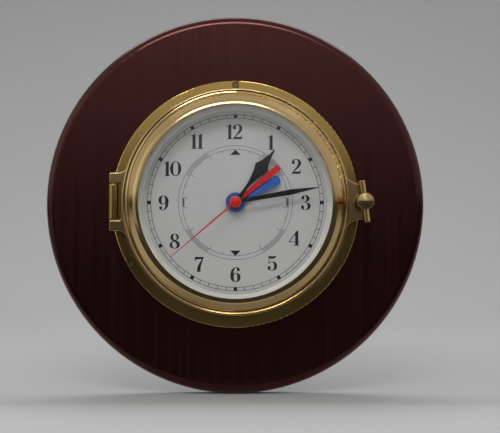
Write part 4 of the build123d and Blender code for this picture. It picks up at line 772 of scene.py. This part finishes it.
sweep_paper = mottled_finish(
    "sweep_paper", dark=(0.485, 0.485, 0.485), light=(0.495, 0.495, 0.495), rough=(0.85, 0.95),
    scale=3.0, fine=400.0, bump=0.01,
)
bpy.ops.object.select_all(action="DESELECT")
bpy.ops.mesh.primitive_plane_add(size=1.0)
sweep = bpy.context.object
sweep.name = "sweep"
bpy.ops.object.mode_set(mode="EDIT")
bpy.ops.mesh.select_all(action="SELECT")
bpy.ops.transform.translate(value=(0, 0.5, 0))
bpy.ops.transform.resize(value=(table_width, table_depth, 1.0), center_override=(0, 0, 0))
bpy.ops.mesh.select_mode(type="EDGE")
run_on(sweep, table_depth, 1, 1, backdrop_turn_r, backdrop_rise)
run_on(sweep, 0.0, -1, -1, table_edge_r, room_drop)
bpy.ops.object.mode_set(mode="OBJECT")
sweep.location = (0, table_front + table_edge_r, floor_level)
bpy.ops.object.transform_apply(location=True, rotation=True, scale=True)
bpy.ops.object.shade_smooth_by_angle(angle=crease_angle)
sweep.data.materials.append(sweep_paper)

room_paint = mottled_finish(
    "room_paint", dark=(0.055, 0.055, 0.055), light=(0.062, 0.062, 0.062), rough=(0.85, 0.95),
    scale=3.0, fine=400.0, bump=0.01,
)
bpy.ops.object.select_all(action="DESELECT")
bpy.ops.mesh.primitive_plane_add(size=1.0)
room_floor = bpy.context.object
room_floor.name = "room_floor"
bpy.ops.object.mode_set(mode="EDIT")
bpy.ops.mesh.select_all(action="SELECT")
bpy.ops.transform.resize(value=(room_width, room_width, 1.0))
bpy.ops.transform.translate(value=(0, 0, floor_level - table_edge_r - room_drop))
bpy.ops.object.mode_set(mode="OBJECT")
room_floor.data.materials.append(room_paint)


# Light: a room that is bright overhead and dark below, a small lamp above the clock, a broad one at the
# left, a front fill that shows neither in the brass nor in the glass, and a lamp over the table.
world = bpy.data.worlds.new("studio")
bpy.context.scene.world = world
world.use_nodes = True
room = world.node_tree
heading = room.nodes.new("ShaderNodeTexCoord")
facing = room.nodes.new("ShaderNodeSeparateXYZ")
room.links.new(heading.outputs["Generated"], facing.inputs["Vector"])
overhead = spread(room, facing.outputs["Z"], low=0.02, high=0.50, from_low=0.06, from_high=0.12)
behind = spread(room, facing.outputs["Y"], low=0.0, high=0.04, from_low=-0.6, from_high=0.3)
both = room.nodes.new("ShaderNodeMath")
both.operation = "ADD"
room.links.new(overhead, both.inputs[0])
room.links.new(behind, both.inputs[1])
room.links.new(both.outputs["Value"], room.nodes["Background"].inputs["Strength"])
room.nodes["Background"].inputs["Color"].default_value = (1.0, 1.0, 1.0, 1.0)


def soft_lamp(name, place, aim, width, height, power):
    """A white area lamp turned to what it lights."""
    lamp = bpy.data.lights.new(name, "AREA")
    lamp.shape = "RECTANGLE"
    lamp.size = width
    lamp.size_y = height
    lamp.energy = power
    holder = bpy.data.objects.new(name, lamp)
    bpy.context.scene.collection.objects.link(holder)
    holder.location = place
    holder.rotation_euler = (Vector(aim) - Vector(place)).to_track_quat("-Z", "Y").to_euler()
    return holder


clock = (0, 0, 0)
table_middle = (0, 0.65, floor_level)
soft_lamp("top_lamp", place=(-0.1, -1.15, 0.75), aim=clock, width=0.6, height=0.18, power=4.2)
soft_lamp("left_lamp", place=(-1.3, -0.7, 0.35), aim=clock, width=1.2, height=1.3, power=1.6)
fill = soft_lamp("front_fill", place=(0, -1.6, -0.05), aim=clock, width=1.2, height=1.2, power=12.0)
fill.visible_glossy = False
fill.visible_transmission = False
soft_lamp("backdrop_lamp", place=(0, 0.65, 1.1), aim=table_middle, width=1.5, height=0.6, power=7.5)


# Camera: it stands a little below the clock's axis, almost square to the dial.
camera = bpy.data.cameras.new("photo_camera")
camera.sensor_width = 36.0
camera.lens = 83.9
photo_view = bpy.data.objects.new("photo_camera", camera)
bpy.context.scene.collection.objects.link(photo_view)
aim = Vector((0.0106, -0.030, -0.0097))
distance = 0.850
azimuth = math.radians(-0.67)
elevation = math.radians(-1.91)
back = Vector((
    math.sin(azimuth) * math.cos(elevation), -math.cos(azimuth) * math.cos(elevation), math.sin(elevation)
))
photo_view.location = aim + back * distance
photo_view.rotation_euler = (-back).to_track_quat("-Z", "Y").to_euler()
bpy.context.scene.camera = photo_view
bpy.context.scene.view_settings.view_transform = "Standard"
